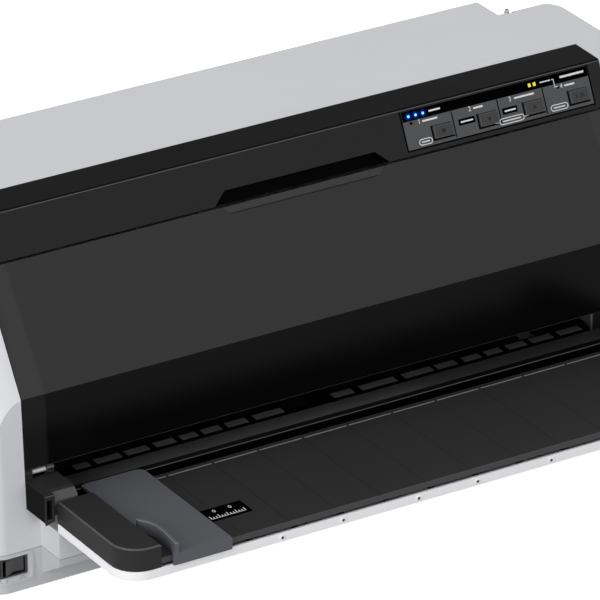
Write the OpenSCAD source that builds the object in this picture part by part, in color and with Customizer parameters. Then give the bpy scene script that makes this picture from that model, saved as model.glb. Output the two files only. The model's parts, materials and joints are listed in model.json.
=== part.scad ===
// Flatbed dot matrix printer, built as an assembly of its real pieces.
// Millimetres, +Z up, +X to the printer's right as one stands in front of it, -Y towards the user.
// Every module draws with y = 0 at the front foot of the base; placed() then moves it so that the
// origin is the middle of the printer's footprint, on the surface it stands on.

/* [Case] */
// Width over both cheeks
case_w = 480; // [474:1:520]
// Height from the surface it stands on to the flat top
case_h = 210; // [206:1:230]
// Depth of the base from its front edge to its rear wall
base_d = 215; // [213:1:235]
// Overall depth with the front table and the rear paper guide
total_d = 370; // [366:1:400]
// Wall of the white mouldings
wall = 2.5; // [2:0.1:3]
// Height of the seam between the lower and the upper case
seam_h = 25.5; // [24.5:0.5:28]
// Open seam between the lower and the upper case
seam_gap = 0.4; // [0.2:0.1:0.8]
// Radius of the front vertical corners below the kink
front_r = 11; // [8:1:14]
// Radius of the front corners along the leaning face above it
brow_r = 27; // [15:1:32]
// Radius of the rear corners of the cheeks
rear_r = 14; // [6:1:18]
// Width of a cheek beside the cover
cheek_w = 24.4; // [22:0.1:28]
// How deep a cheek's inner wall turns into the case
flange_d = 25; // [22:1:28]
// Height of the kink in the front, where the upright face starts to lean back
kink_h = 118.8; // [116:0.1:126]
// How far back the kink lies from the front foot
kink_y = 7.3; // [5:0.1:9]
// Width of the raised rear lip between the two rear notches
lip_w = 399.6; // [392:0.1:404]
// Depth at which the rear lip ends
lip_rear_y = 175.4; // [172:0.1:178]
// Depth at which the tops of the cheeks end
cheek_rear_y = 152.4; // [148:0.1:156]
// Depth and height of the bend in the backs of the cheeks
back_bend_y = 205; // [200:1:209]
back_bend_h = 96; // [90:1:104]
// Height up to which the rear wall is upright
back_low_h = 64; // [60:1:70]
// Depth of the foot of the centre's rear wall
bay_wall_y = 182; // [181:1:184]
// Height of the rear paper opening's upper edge
bay_top_h = 84; // [82:1:92]
// Height of the deck behind the rear paper opening
bay_floor_h = 40; // [39:0.5:40.5]
// How far the rubber feet stand out below the base
foot_proud = 1.5; // [1:0.1:2.5]
// Radius of a rubber foot
foot_r = 9; // [6:0.5:12]

/* [Corbel under the table] */
// Width of the white nose that carries the table
corbel_w = 414; // [400:1:418]
// How far the nose stands out of the front
corbel_d = 19; // [16:0.5:22]
// Height of the nose's top face
corbel_top_h = 42.9; // [42:0.1:43]
// Height of the nose's lower front edge
corbel_low_h = 21; // [18:0.5:22]
// Height at which its sloping underside meets the base
corbel_root_h = 9; // [7:0.5:12]

/* [Control strip and panel] */
// Height of the strip's leaning front face
strip_face_h = 25.6; // [24:0.1:27]
// Fall of the strip's front edge below the flat top
strip_fall = 0.7; // [0.3:0.1:1.2]
// Depth of the strip's upper front edge
strip_top_y = 64; // [62:0.1:66]
// Depth of the strip's lower front edge
strip_low_y = 51.9; // [50:0.1:54]
// Depth of the strip's rear edge on the flat top
strip_rear_y = 88.7; // [86:0.1:94]
// Wall of the strip and the cover
skin = 2.5; // [2:0.1:3]
// Left end of the inlaid panel
panel_x0 = 74.2; // [70:0.1:80]
// Right end of the inlaid panel
panel_x1 = 205.5; // [202:0.1:208]
// Upper and lower edge of the panel, down the leaning face
panel_top = 2; // [1.5:0.1:3]
panel_low = 25; // [24:0.1:25.5]
// Thickness of the inlaid panel
panel_t = 1.2; // [0.8:0.1:1.5]
// Size of a button cap along and down the face
button_w = 13; // [10:0.5:14]
button_d = 7.6; // [6:0.1:8.5]
// Middle of the leftmost button and the step to the next
button_x = 99.5; // [98:0.1:101]
button_pitch = 32.2; // [30:0.1:33]
// Middle of the buttons, down the leaning face
button_down = 18.2; // [17:0.1:19]
// How far a cap stands out, and its travel
button_proud = 1.4; // [1:0.1:2]
button_travel = 1; // [0.6:0.1:1.2]
// Radius of a status lamp, and the first lamp with the step to the next
lamp_r = 1.1; // [0.8:0.1:1.4]
lamp_x = 78.7; // [77:0.1:80]
lamp_pitch = 5.05; // [4:0.05:6]
// Where the lamps lie, down the leaning face
lamp_down = 5.3; // [4.5:0.1:6]
// Height of the finger recess in the strip, up its face
grip_h = 7.8; // [6:0.1:9]
// Width of the finger recess at the strip's lower edge and at its top
grip_low_w = 120; // [100:1:130]
grip_top_w = 103; // [90:1:99]
// Depth of the finger recess
grip_d = 6; // [5:0.1:8]

/* [Cover and its hinge] */
// Height of the cover's lower edge
cover_low_h = 74.6; // [74.4:0.1:78]
// Depth and height of the hinge pins that the cover and the table share
pin_y = 8; // [7.5:0.1:8.5]
pin_h = 71; // [70.8:0.1:71.2]
// Radius of a hinge pin
pin_r = 1.5; // [1.2:0.1:1.6]
// Depth of the cover's side flanges
cover_flange = 12; // [8:0.5:16]

/* [Front table] */
// How far the table's front face lies ahead of the base
table_reach = 95; // [90:0.5:100]
// How far the deck's rear edge lies ahead of the base
table_rear = 10; // [9.5:0.1:11]
// Height of the paper surface on the table
deck_h = 55; // [54.8:0.1:55.2]
// Thickness of the deck
deck_t = 1.6; // [1.2:0.1:2]
// Height of the top of the raised side arms
arm_h = 63.5; // [62:0.1:65]
// Width of a side arm
arm_w = 23.5; // [20:0.5:24]
// Radius of the table's front corners
table_r = 17; // [12:0.5:22]
// Lower and upper face of the white tray
tray_low = 43.2; // [43.2:0.1:44]
tray_top = 49; // [48.5:0.1:49.2]
// Height of the grey bar along the deck's front edge
bar_h = 3.7; // [3:0.1:4]
// Step of the fine grooves across the deck
groove_pitch = 30.6; // [28:0.1:34]
// Width of a hinge block, of its open outer box, and its lower and upper face
block_w = 22; // [18:0.5:23]
block_box_w = 6.5; // [5:0.5:8]
block_low = 50.7; // [50.6:0.1:51.5]
block_top = 67.7; // [67:0.1:67.8]
// How far the hinge block's rounded end lies ahead of the base
block_front = 18; // [17:0.1:19]

/* [Edge guide] */
// Left and right end of the guide plate
guide_x0 = -180; // [-182:0.5:-178]
guide_w = 41; // [36:0.5:46]
// Thickness of the guide plate
guide_t = 1.3; // [1:0.1:1.6]
// How far the plate reaches back over the lip
guide_rear = 3.5; // [2:0.1:5]
// Height of the guide's fence above the deck, and of its thumb grip
fence_h = 5; // [4:0.1:7]
thumb_h = 8; // [7:0.1:10]
// How far the guide slides to the right
guide_travel = 45; // [20:1:60]

/* [Print mechanism] */
// Half distance between the two steel side frames
frame_half = 188; // [186:0.5:188.5]
// Thickness of a side frame
frame_t = 1.6; // [1.2:0.1:2]
// Middle of the platen, and its radius
platen_y = 75; // [74:0.1:76]
platen_h = 41.7; // [41:0.1:42]
platen_r = 13; // [12:0.1:13.2]
// Half length of the rubber of the platen
platen_half = 150; // [140:1:155]
// Radius of the platen's shaft and of its journals
platen_shaft_r = 6; // [5:0.1:7]
journal_r = 4; // [3.5:0.1:4.5]
// Middle of the front and the rear feed roller, their height and ring radius
feed_front_y = 40; // [39.5:0.1:40.5]
feed_rear_y = 112; // [111:0.1:113]
feed_h = 46; // [45.8:0.1:46.2]
feed_ring_r = 9; // [8:0.1:9.2]
// Count of rubber rings on a feed roller and their step
feed_rings = 8; // [4:2:8]
feed_ring_pitch = 38; // [30:1:40]
feed_ring_w = 18; // [12:1:24]
// Radius of the feed roller shafts
feed_shaft_r = 3.5; // [3.2:0.1:4]
// Middle of the tractor shaft and the size of its square
tractor_y = 194; // [193:0.5:195]
tractor_h = 49; // [48.6:0.1:49.2]
tractor_sq = 7; // [6:0.1:7.6]
// Middle of the tractors' round support bar and its radius
bar_y = 208; // [207:0.5:209]
bar_r = 3; // [2.5:0.1:3.5]
// Middle of the guide shaft that carries the carriage, and its radius
rod_y = 96; // [95:0.5:97]
rod_h = 84; // [83:0.5:86]
rod_r = 5; // [4:0.1:5.5]
// Where the carriage rests, and how far it runs to the right
carriage_x = -140; // [-142:1:-130]
carriage_travel = 280; // [200:1:280]
// Half width of the carriage
carriage_half = 28; // [24:0.5:29]
// Half width and depth of the print head
head_half = 15; // [12:0.5:15.5]
head_d = 18; // [16:0.5:18]
// Height of the print head's top and of its nose's tip
head_top = 114; // [108:1:118]
nose_h = 56.3; // [56.2:0.1:57]
// Middle of the belt's pulleys, their half distance and radius
pulley_y = 130; // [129:0.5:132]
pulley_half = 160; // [159:0.5:162]
pulley_r = 6.7; // [6:0.1:7.5]
// Thickness and width of the toothed belt
belt_t = 1.2; // [1:0.1:1.5]
belt_w = 6.4; // [5:0.1:7]
// Top face of the beam that the carriage's tail runs on
beam_h = 98; // [97.5:0.1:99]
// Side of a stepper motor and its length
motor_side = 42; // [35:1:42]
motor_len = 34; // [24:1:34]

/* [Gears] */
// Tooth size of the paper feed gears
gear_m = 1.5; // [1.5:0.5:1.5]
// Width of a gear
gear_w = 5; // [4:0.5:5.5]
// Play between two meshing teeth
gear_play = 0.3; // [0.2:0.05:0.5]

/* [Fits] */
// Gap between pieces that lie beside each other
gap = 0.3; // [0.2:0.05:0.4]
// Radial clearance of a shaft that turns in its bore
fit = 0.05; // [0.02:0.01:0.1]

/* [Hidden] */
$fn = 48;

// Room that cuts pass beyond the face they open
over = 1;

// Case
case_half = case_w / 2;
open_half = case_half - cheek_w;
lip_half = lip_w / 2;
strip_top_h = case_h - strip_fall;
strip_low_h = strip_top_h - strip_face_h;
upper_low = seam_h + seam_gap / 2;
lower_top = seam_h - seam_gap / 2;
lower_lean = atan2(kink_y, kink_h);
upper_lean = atan2(strip_top_y - kink_y, strip_top_h - kink_h);
back_lean = atan2(back_bend_y - cheek_rear_y, case_h - back_bend_h);
corbel_half = corbel_w / 2;
open_low = block_low - gap;
guide_wrap_t = 2;
front_reach = table_reach + gap + guide_wrap_t;
rear_reach = total_d - front_reach;
mid_y = total_d / 2 - front_reach;

// Control strip and cover
strip_lean = atan2(strip_top_y - strip_low_y, strip_face_h);
strip_len = norm([strip_top_y - strip_low_y, strip_face_h]);
strip_half = open_half - gap;
cover_half = open_half - 2 * gap;
cover_lean = atan2(strip_low_y - kink_y, strip_low_h - kink_h);
cover_len = norm([strip_low_y - kink_y, strip_low_h - kink_h]);
cover_gap = 1.3;
pull_h = 5.6;
pull_step = 0.5;
pull_d = 1.7;
ear_w = 4.5;
ear_r = 3;

// Front table
table_half = corbel_half + 0.5;
arm_in = table_half - arm_w;
block_out = strip_half;
block_in = block_out - block_w;
block_r = (block_top - block_low) / 2;
block_mid = (block_top + block_low) / 2;
block_rear = pin_y + 16;
arm_rear = block_front + 0.4;

// Print mechanism
frame_out = frame_half + frame_t;
frame_front = block_rear + 3;
frame_rear = bar_y + 6;
boss_h = 2;
frame_low = wall + foot_proud + boss_h;
gear_x = frame_out + 1.4;
gear_notch = 11;
stud_r = 2.5;
platen_n = 24;
idler_n = 12;
feed_n = 16;
wheel_n = 42;
pinion_n = 12;
platen_c = [platen_y, platen_h];
feed_front_c = [feed_front_y, feed_h];
feed_rear_c = [feed_rear_y, feed_h];
tractor_c = [tractor_y, tractor_h];
pinion_turn = 100;
pinion_c = platen_c + pitch_sum(platen_n, pinion_n) * [cos(pinion_turn), sin(pinion_turn)];
idler_front_c = meet(platen_c, pitch_sum(platen_n, idler_n),
                     feed_front_c, pitch_sum(idler_n, feed_n), 1);
idler_rear_c = meet(platen_c, pitch_sum(platen_n, idler_n),
                    feed_rear_c, pitch_sum(idler_n, feed_n), -1);
wheel_c = meet(feed_rear_c, pitch_sum(feed_n, wheel_n),
               tractor_c, pitch_sum(wheel_n, feed_n), 1);
platen_turn = 0;
idler_front_turn = mesh(platen_c, platen_n, platen_turn, idler_front_c, idler_n);
feed_front_turn = mesh(idler_front_c, idler_n, idler_front_turn, feed_front_c, feed_n);
idler_rear_turn = mesh(platen_c, platen_n, platen_turn, idler_rear_c, idler_n);
feed_rear_turn = mesh(idler_rear_c, idler_n, idler_rear_turn, feed_rear_c, feed_n);
wheel_turn = mesh(feed_rear_c, feed_n, feed_rear_turn, wheel_c, wheel_n);
tractor_turn = mesh(wheel_c, wheel_n, wheel_turn, tractor_c, feed_n);
pinion_turn_0 = mesh(platen_c, platen_n, platen_turn, pinion_c, pinion_n);
belt_in = pulley_r + gap;
belt_low = beam_h + 2.3;
beam_t = 2;
beam_half_d = 24;
beam_screw_y = [pulley_y - 16, pulley_y - 2];
beam_screw_h = beam_h - 8;
bed_top = deck_h - 0.5;
bed_t = 1.6;

// Smaller pieces
foot_x = case_half - 40;
foot_y = [32, base_d - 28];
foot_sink = 1.2;
screw_r = 1.5;
case_screw_x = case_half - 16;
case_screw_y = [50, base_d - 50];
case_boss_r = 4;
case_screw_l = 26;
case_boss_top = 44;
boss_in = 8;
boss_r = 5;
frame_screw_y = [48, 150];
board_boss_h = 3;
board_t = 1.6;
power_x0 = 18 - frame_half;
power_y0 = 112;
board_x0 = -60;
board_x1 = 170;
board_y0 = 128;
board_y1 = base_d - wall - 5;
board_inset = 8;
board_bosses = [
    for (x = [board_x0 + board_inset, board_x1 - board_inset], y = [board_y0 + board_inset, board_y1 - 16])
        [x, y]
];
board_chips = [
    [60, 22, 28, 28, 3], [120, 24, 14, 20, 3], [150, 24, 14, 20, 3], [190, 22, 20, 14, 4],
    [30, 37, 16, 16, 12], [90, 52, 24, 12, 6]
];
power_w = 98;
power_d = 68;
switch_x0 = -234.5;
switch_x1 = -216.4;
switch_low = 11;
switch_top = 23.4;
frame_proud = 0.7;
frame_rim = 1.5;
frame_foot = 7.2;
switch_d = 14;
lever_x = case_half - 31;
lever_w = 4;
lever_tip_w = 2.2;
lever_slot_h = 54;
lever_slot_d = 26;
port_x = [62, 148];
port_w = [66, 12.5];
port_h = [15, 11];
port_low = foot_proud + wall + board_boss_h + board_t;
inlet_x = -lip_half - 17;
inlet_w = 27;
inlet_h = 19.6;
inlet_mid = 44;
rocker_c = [(switch_x0 + switch_x1) / 2, 8.5];
rocker_half = (switch_x1 - switch_x0) / 2 - 2;
rocker_tilt = 7;
ear_in = block_in + 2.2;
lug_w = 5.5;
lip_back = 20.2;
comb_front = 23.5;
comb_back = 29.6;
comb_rise = 3;
comb_fingers = [
    [-171, -161], [-157, -140], [-136.5, -121.5], [-117, -103.5], [-99.5, -88.5], [-85, -72.5],
    [-68.5, -54.5], [-49.5, -30], [4.5, 18.5], [24, 48.5], [54, 74.5], [77, 91], [96, 108],
    [112, 123], [127.5, 140.5], [144.5, 159.5], [164, 180]
];
lever_c = [148, 84];
gap_c = [70, 112];
gap_x = frame_half - 8;
bracket_posts = [[50, 86], [84, 88], [96, 62], [52, 64]];
bracket_x = gear_x + gear_w + 2.2;
bracket_t = 1.6;
pressure = 25;
flank_steps = 3;
motor_x = bracket_x + bracket_t;
tractor_rest = 120;
tractor_w = 20;
tractor_half_h = tractor_h - bay_floor_h - 1;
pin_pitch = 12.7;
lid_axis_h = tractor_h + 7;
lid_axis_in = tractor_w / 2 - 2.4;
lid_lug = 3.6;
lid_pin_r = 0.9;
lid_y0 = tractor_y - 2;
lid_y1 = lid_y0 + 14;
lid_t = 1.8;
rear_pivot = [base_d + 4.5, bay_floor_h - 4];
rear_pin_r = 1.5;
guide_half = lip_half - 12;
head_y0 = platen_y - head_d / 2;
head_y1 = platen_y + head_d / 2;
nose_w = 12;
saddle_low = 66;
saddle_t = 2.6;
saddle_rim = 7;
head_low = saddle_low + saddle_t + gap;
fin_pitch = 5.4;
belt_front = pulley_y - belt_in - belt_t;
cart_front = 27;
cart_back = 56;
cart_low = 86;
cart_top = 106;
cart_half = frame_half - 20;
cart_arm = 8;
knob_c = [-150, 41];
ribbon_low = platen_h + platen_r + 0.9;
ribbon_top = ribbon_low + 0.2;

// Unit vector from a to b
function toward(a, b) = (b - a) / norm(b - a);

// Point at distance ra from a and rb from b, on the left (side 1) or the right (side -1) of a to b
function meet(a, ra, b, rb, side) =
    let (d = norm(b - a), u = toward(a, b), s = (ra * ra - rb * rb + d * d) / (2 * d))
    a + s * u + side * sqrt(ra * ra - s * s) * [-u.y, u.x];

// Distance between the middles of two meshing gears
function pitch_sum(n1, n2) = gear_m * (n1 + n2) / 2;

// Turn that puts a gear of n2 teeth at c2 in mesh with a gear of n1 teeth at c1, turned by t1
function mesh(c1, n1, t1, c2, n2) =
    let (a = atan2(c2.y - c1.y, c2.x - c1.x))
    a + 180 + (n1 * (a - t1) - 180) / n2;

// Depth of the leaning lower front face at a height
function front_y(h) = kink_y * h / kink_h;

// Corners [y, z, radius] moved inwards by d, for an outline that runs counter-clockwise
function inset(v, d) = [
    for (i = [0 : len(v) - 1])
        let (
            n = len(v),
            p = [v[i].x, v[i].y],
            a = [v[(i + n - 1) % n].x, v[(i + n - 1) % n].y],
            b = [v[(i + 1) % n].x, v[(i + 1) % n].y],
            d1 = toward(a, p),
            d2 = toward(p, b),
            n1 = [-d1.y, d1.x],
            n2 = [-d2.y, d2.x],
            q = p + d * (n1 + n2) / (1 + n1 * n2)
        )
        [q.x, q.y, max(0, v[i].z - d)]
];

// Points of an outline whose corners [y, z, radius] are rounded
function rounded(v, steps = 6) = [
    for (i = [0 : len(v) - 1])
        let (
            n = len(v),
            p = [v[i].x, v[i].y],
            u = toward(p, [v[(i + n - 1) % n].x, v[(i + n - 1) % n].y]),
            w = toward(p, [v[(i + 1) % n].x, v[(i + 1) % n].y]),
            half = acos(u * w) / 2,
            r = v[i].z,
            c = p + (u + w) / norm(u + w) * r / sin(half),
            s = p + u * r / tan(half) - c,
            e = p + w * r / tan(half) - c,
            a0 = atan2(s.y, s.x),
            turn = (atan2(e.y, e.x) - a0 + 540) % 360 - 180
        )
        each r == 0 ? [p] : [for (k = [0 : steps]) c + r * [cos(a0 + turn * k / steps),
                                                             sin(a0 + turn * k / steps)]]
];

// Side outline of the cheeks above a height
function cheek_outline(low) = [
    [front_y(low), low, 0],
    [base_d, low, 0],
    [base_d, back_low_h, 8],
    [back_bend_y, back_bend_h, 20],
    [cheek_rear_y, case_h, 6],
    [strip_top_y, strip_top_h, 2],
    [kink_y, kink_h, 5]
];

// Side outline of the case between the cheeks above a height
function centre_outline(low) = [
    [front_y(low), low, 0],
    [base_d, low, 0],
    [base_d, bay_floor_h, 2],
    [bay_wall_y, bay_floor_h, 0],
    [bay_wall_y, bay_top_h, 0],
    [lip_rear_y, case_h, 3],
    [strip_rear_y, case_h, 0],
    [strip_top_y, strip_top_h, 0],
    [kink_y, kink_h, 0]
];

// Moves a piece from the drawing's y to the middle of the footprint
module placed() {
    translate([0, -mid_y, 0]) children();
}

// Extrudes a side outline from x0 to x1
module along_x(x0, x1) {
    translate([x0, 0, 0]) rotate([90, 0, 90]) linear_extrude(x1 - x0) children();
}

// A box from one corner to the other
module block(a, b) {
    translate(a) cube(b - a);
}

// Draws a piece and its mirror image across the middle
module both() {
    children();
    mirror([1, 0, 0]) children();
}

// A round bar along X at [y, z]
module rod(c, r, x0, x1) {
    translate([x0, c.x, c.y]) rotate([0, 90, 0]) cylinder(h = x1 - x0, r = r);
}

// A long prism with a leaning front face through [y, z] and rounded front corners
module corner_prism(y, z, lean, half, r) {
    reach = 400;
    translate([0, y, z]) rotate([-lean, 0, 0]) translate([0, 0, -reach]) linear_extrude(2 * reach) {
        translate([-half, r]) square([2 * half, reach]);
        translate([r - half, 0]) square([2 * (half - r), reach]);
        for (s = [-1, 1]) translate([s * (half - r), r]) circle(r);
    }
}

// Solid between the four corner prisms and a side outline
module cheek_body(v, d, x0, x1) {
    intersection() {
        along_x(x0, x1) polygon(rounded(v));
        corner_prism(kink_y + d / cos(lower_lean), kink_h, lower_lean, case_half - d, front_r - d);
        corner_prism(kink_y + d / cos(upper_lean), kink_h, upper_lean, case_half - d, brow_r - d);
        mirror([0, 1, 0])
            corner_prism(d / cos(back_lean) - cheek_rear_y, case_h, back_lean,
                         case_half - d, rear_r - d);
        mirror([0, 1, 0]) corner_prism(d - base_d, 0, 0, case_half - d, rear_r - d);
    }
}

// Side outline of the nose under the table
module corbel_outline(d, low, top) {
    polygon([
        [-corbel_d + d, max(low, corbel_low_h + d)],
        [d, max(low, corbel_root_h + d)],
        [wall + over, max(low, corbel_root_h + d)],
        [wall + over, top],
        [-corbel_d + d, top]
    ]);
}

// Places a drawing on the strip's leaning face: x across, -z down the face, -y outwards
module on_strip() {
    translate([0, strip_top_y, strip_top_h]) rotate([-strip_lean, 0, 0]) children();
}

// Places a drawing on the cover's leaning face, with the kink at z = 0
module on_cover() {
    translate([0, kink_y, kink_h]) rotate([-cover_lean, 0, 0]) children();
}

module lower_case() color("whitesmoke") placed() {
    low = [
        [front_y(foot_proud), foot_proud, 0], [base_d, foot_proud, 0],
        [base_d, lower_top, 0], [front_y(lower_top), lower_top, 0]
    ];
    room = [
        [front_y(foot_proud) + wall, foot_proud + wall, 0], [base_d - wall, foot_proud + wall, 0],
        [base_d - wall, lower_top + over, 0], [front_y(lower_top) + wall, lower_top + over, 0]
    ];
    difference() {
        union() {
            intersection() {
                along_x(-case_half, case_half) polygon(rounded(low));
                corner_prism(kink_y, kink_h, lower_lean, case_half, front_r);
                mirror([0, 1, 0]) corner_prism(-base_d, 0, 0, case_half, rear_r);
            }
            along_x(-corbel_half, corbel_half) corbel_outline(0, 0, lower_top);
            switch_frame();
        }
        difference() {
            intersection() {
                along_x(-case_half, case_half) polygon(rounded(room));
                corner_prism(kink_y + wall, kink_h, lower_lean, case_half - wall, front_r - wall);
                mirror([0, 1, 0]) corner_prism(wall - base_d, 0, 0, case_half - wall, rear_r - wall);
            }
            switch_walls();
        }
        along_x(wall - corbel_half, corbel_half - wall) corbel_outline(wall, 0, lower_top + over);
        both() for (y = foot_y) translate([foot_x, y, 0])
            cylinder(h = foot_proud + foot_sink, r = foot_r + gap);
        switch_window();
        port_windows(gap);
        both() for (y = case_screw_y) translate([case_screw_x, y, 0])
            cylinder(h = wall + foot_proud + over, r = screw_r + fit);
    }
    both() for (y = case_screw_y) translate([case_screw_x, y, foot_proud + wall - 0.1]) difference() {
        cylinder(h = lower_top - foot_proud - wall, r = case_boss_r);
        translate([0, 0, -over]) cylinder(h = lower_top, r = screw_r + fit);
    }
    both() for (y = frame_screw_y) translate([frame_half - boss_in, y, foot_proud + wall])
        difference() {
            cylinder(h = boss_h, r = boss_r);
            cylinder(h = boss_h + over, r = screw_r - 0.2);
        }
    for (p = board_bosses) translate([p.x, p.y, foot_proud + wall]) cylinder(h = board_boss_h, r = 3);
}

module upper_case() color("whitesmoke") placed() {
    upper_shell();
    both() for (y = case_screw_y) difference() {
        union() {
            translate([case_screw_x, y, upper_low]) cylinder(h = case_boss_top - upper_low, r = case_boss_r);
            block([case_screw_x, y - 1, upper_low], [case_half - wall + 0.2, y + 1, case_boss_top]);
        }
        translate([case_screw_x, y, upper_low - over])
            cylinder(h = case_boss_top - upper_low, r = screw_r + fit);
    }
    both() difference() {
        along_x(guide_half + gap, guide_half + gap + 4) polygon([
            [base_d - 0.5, rear_pivot.y - 5], [rear_pivot.x, rear_pivot.y - 4],
            [rear_pivot.x + 3, rear_pivot.y - 1], [rear_pivot.x + 3, rear_pivot.y + 1],
            [rear_pivot.x, rear_pivot.y + 3], [base_d - 0.5, rear_pivot.y + 3]
        ]);
        block([0, 0, rear_pivot.y + 2.9], [case_half, base_d + 30, case_h]);
    }
    both() rod(rear_pivot, rear_pin_r, guide_half - 8, guide_half + gap + over);
}

module upper_shell() difference() {
    union() {
        both() cheek_body(cheek_outline(upper_low), 0, lip_half, case_half);
        along_x(-lip_half, lip_half) polygon(rounded(centre_outline(upper_low)));
        along_x(-corbel_half, corbel_half) corbel_outline(0, upper_low, corbel_top_h);
    }
    difference() {
        union() {
            both() cheek_body(inset(cheek_outline(upper_low - 3 * wall), wall), wall,
                              lip_half + wall, case_half);
            along_x(wall - lip_half, lip_half - wall)
                polygon(rounded(inset(centre_outline(upper_low - 3 * wall), wall)));
            along_x(-lip_half - wall - over, lip_half + wall + over) intersection() {
                polygon(rounded(inset(cheek_outline(upper_low - 3 * wall), wall + gap)));
                polygon(rounded(inset(centre_outline(upper_low - 3 * wall), wall + gap)));
            }
        }
        both() along_x(open_half, open_half + wall) difference() {
            polygon(rounded(cheek_outline(upper_low)));
            translate([flange_d, 0]) polygon(rounded(cheek_outline(upper_low - over)));
            translate([flange_d, -flange_d]) square([base_d, 2 * base_d]);
        }
    }
    along_x(-open_half, open_half) polygon([
        [-over * 40, open_low], [strip_top_y, open_low], [strip_rear_y + gap, case_h - 30],
        [strip_rear_y + gap, case_h + over], [-over * 40, case_h + over]
    ]);
    block([-corbel_half, -corbel_d - over, corbel_top_h], [corbel_half, strip_top_y, open_low + over]);
    along_x(wall - corbel_half, corbel_half - wall)
        corbel_outline(wall, upper_low - over, corbel_top_h - wall);
    block([wall - lip_half, bay_wall_y - wall - over, bay_floor_h],
          [lip_half - wall, bay_wall_y + over, bay_top_h]);
    block([-gear_x - gear_w - 1.2, tractor_y - gear_notch, bay_floor_h - wall - over],
          [-frame_out - gap, tractor_y + gear_notch, bay_floor_h + over]);
    both() rod([pin_y, pin_h], pin_r + fit, open_half - over, open_half + wall + over);
    block([lever_x - lever_w / 2 - gap * 2, cheek_rear_y - 4, case_h - lever_slot_h],
          [lever_x + lever_w / 2 + gap * 2, cheek_rear_y + lever_slot_d, case_h + over]);
    inlet_window(gap);
}

// Pocket behind the power switch, with walls all round
module switch_walls() {
    block([switch_x0 - 1.5, 0, foot_proud], [switch_x1 + 1.5, switch_d + 1.5, lower_top + over]);
}

// Raised frame round the switch, with a plain strip below it for its signs
module switch_frame() difference() {
    intersection() {
        corner_prism(kink_y - frame_proud / cos(lower_lean), kink_h, lower_lean,
                     case_half + frame_proud, front_r + frame_proud);
        translate([0, switch_d, 0]) rotate([90, 0, 0]) linear_extrude(2 * switch_d)
            frame_plan(0);
    }
    translate([0, switch_d + over, 0]) rotate([90, 0, 0]) linear_extrude(3 * switch_d)
        frame_plan(frame_rim);
}

module frame_plan(d) {
    polygon(rounded(inset([
        [switch_x0 - 1.8, frame_foot, 3], [switch_x1 + 3.2, frame_foot, 3],
        [switch_x1 + 3.2, lower_top - 0.3, 1.6], [switch_x0 - 1.8, lower_top - 0.3, 1.6]
    ], d)));
}

module switch_window() {
    block([switch_x0, -over, switch_low], [switch_x1, switch_d, switch_top]);
}

module port_windows(c) {
    for (i = [0, 1]) block([port_x[i] - c, base_d - wall - over, port_low - c],
                           [port_x[i] + port_w[i] + c, base_d + over, port_low + port_h[i] + c]);
}

module inlet_window(c) {
    block([inlet_x - inlet_w / 2 - c, base_d - wall - over, inlet_mid - inlet_h / 2 - c],
          [inlet_x + inlet_w / 2 + c, base_d + over, inlet_mid + inlet_h / 2 + c]);
}

module feet() color("dimgray") placed() both() for (y = foot_y) translate([foot_x, y, 0])
    rotate_extrude() polygon([[0, 0], [foot_r - 1, 0], [foot_r, 1],
                              [foot_r, foot_proud + foot_sink], [0, foot_proud + foot_sink]]);

module control_strip() color("#141414") placed() difference() {
    union() {
        along_x(-strip_half, strip_half) polygon([
            [strip_low_y, strip_low_h], [strip_low_y + skin, strip_low_h],
            [strip_top_y + skin * 0.6, strip_top_h - skin], [strip_rear_y, case_h - skin],
            [strip_rear_y, case_h], [strip_top_y + 1, strip_top_h], [strip_top_y, strip_top_h - 1]
        ]);
        on_strip() block([-grip_low_w / 2 - skin, 0.4, -strip_len],
                         [grip_low_w / 2 + skin, grip_d + skin, grip_h + skin - strip_len]);
    }
    on_strip() {
        translate([0, -over, -strip_len]) rotate([-90, 0, 0]) linear_extrude(grip_d + over)
            polygon([[-grip_low_w / 2 - 1, over], [grip_low_w / 2 + 1, over],
                     [grip_top_w / 2, -grip_h], [-grip_top_w / 2, -grip_h]]);
        block([panel_x0 - gap, -over, -panel_low - gap], [panel_x1 + gap, panel_t, -panel_top + gap]);
        button_holes();
        lamp_holes(lamp_r + 0.1);
    }
}

// Holes that the caps pass through
module button_holes() {
    for (i = [0 : 3]) translate([button_x + i * button_pitch, 0, -button_down])
        block([-button_w / 2 - gap, -over, -button_d / 2 - gap],
              [button_w / 2 + gap, skin + over, button_d / 2 + gap]);
}

module lamp_holes(r) {
    for (i = [0 : 2]) translate([lamp_x + i * lamp_pitch, -over, -lamp_down])
        rotate([-90, 0, 0]) cylinder(h = skin + 2 * over, r = r);
}

module panel_face() color("dimgray") placed() on_strip() difference() {
    block([panel_x0, 0, -panel_low], [panel_x1, panel_t, -panel_top]);
    button_holes();
    lamp_holes(lamp_r + 0.1);
    for (i = [0 : 2]) translate([button_x + (i + 0.26) * button_pitch, 0, 0])
        block([-0.25, -over, -panel_low + 0.8], [0.25, 0.3, -8]);
}

module status_lamps() color("dodgerblue") placed() on_strip()
    for (i = [0 : 2]) translate([lamp_x + i * lamp_pitch, -0.2, -lamp_down])
        rotate([-90, 0, 0]) cylinder(h = skin, r = lamp_r);

// A push button: cap, and a wider foot that the strip's wall holds in
module button(i) color("#2b2b2d") placed() on_strip()
    translate([button_x + i * button_pitch, 0, -button_down]) {
        block([-button_w / 2, -button_proud, -button_d / 2], [button_w / 2, skin + gap, button_d / 2]);
        block([-button_w / 2 - 1.2, skin + gap, -button_d / 2 - 1.2],
              [button_w / 2 + 1.2, skin + gap + 1.2, button_d / 2 + 1.2]);
    }

module button_1() button(0);

module button_2() button(1);

module button_3() button(2);

module button_4() button(3);

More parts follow.
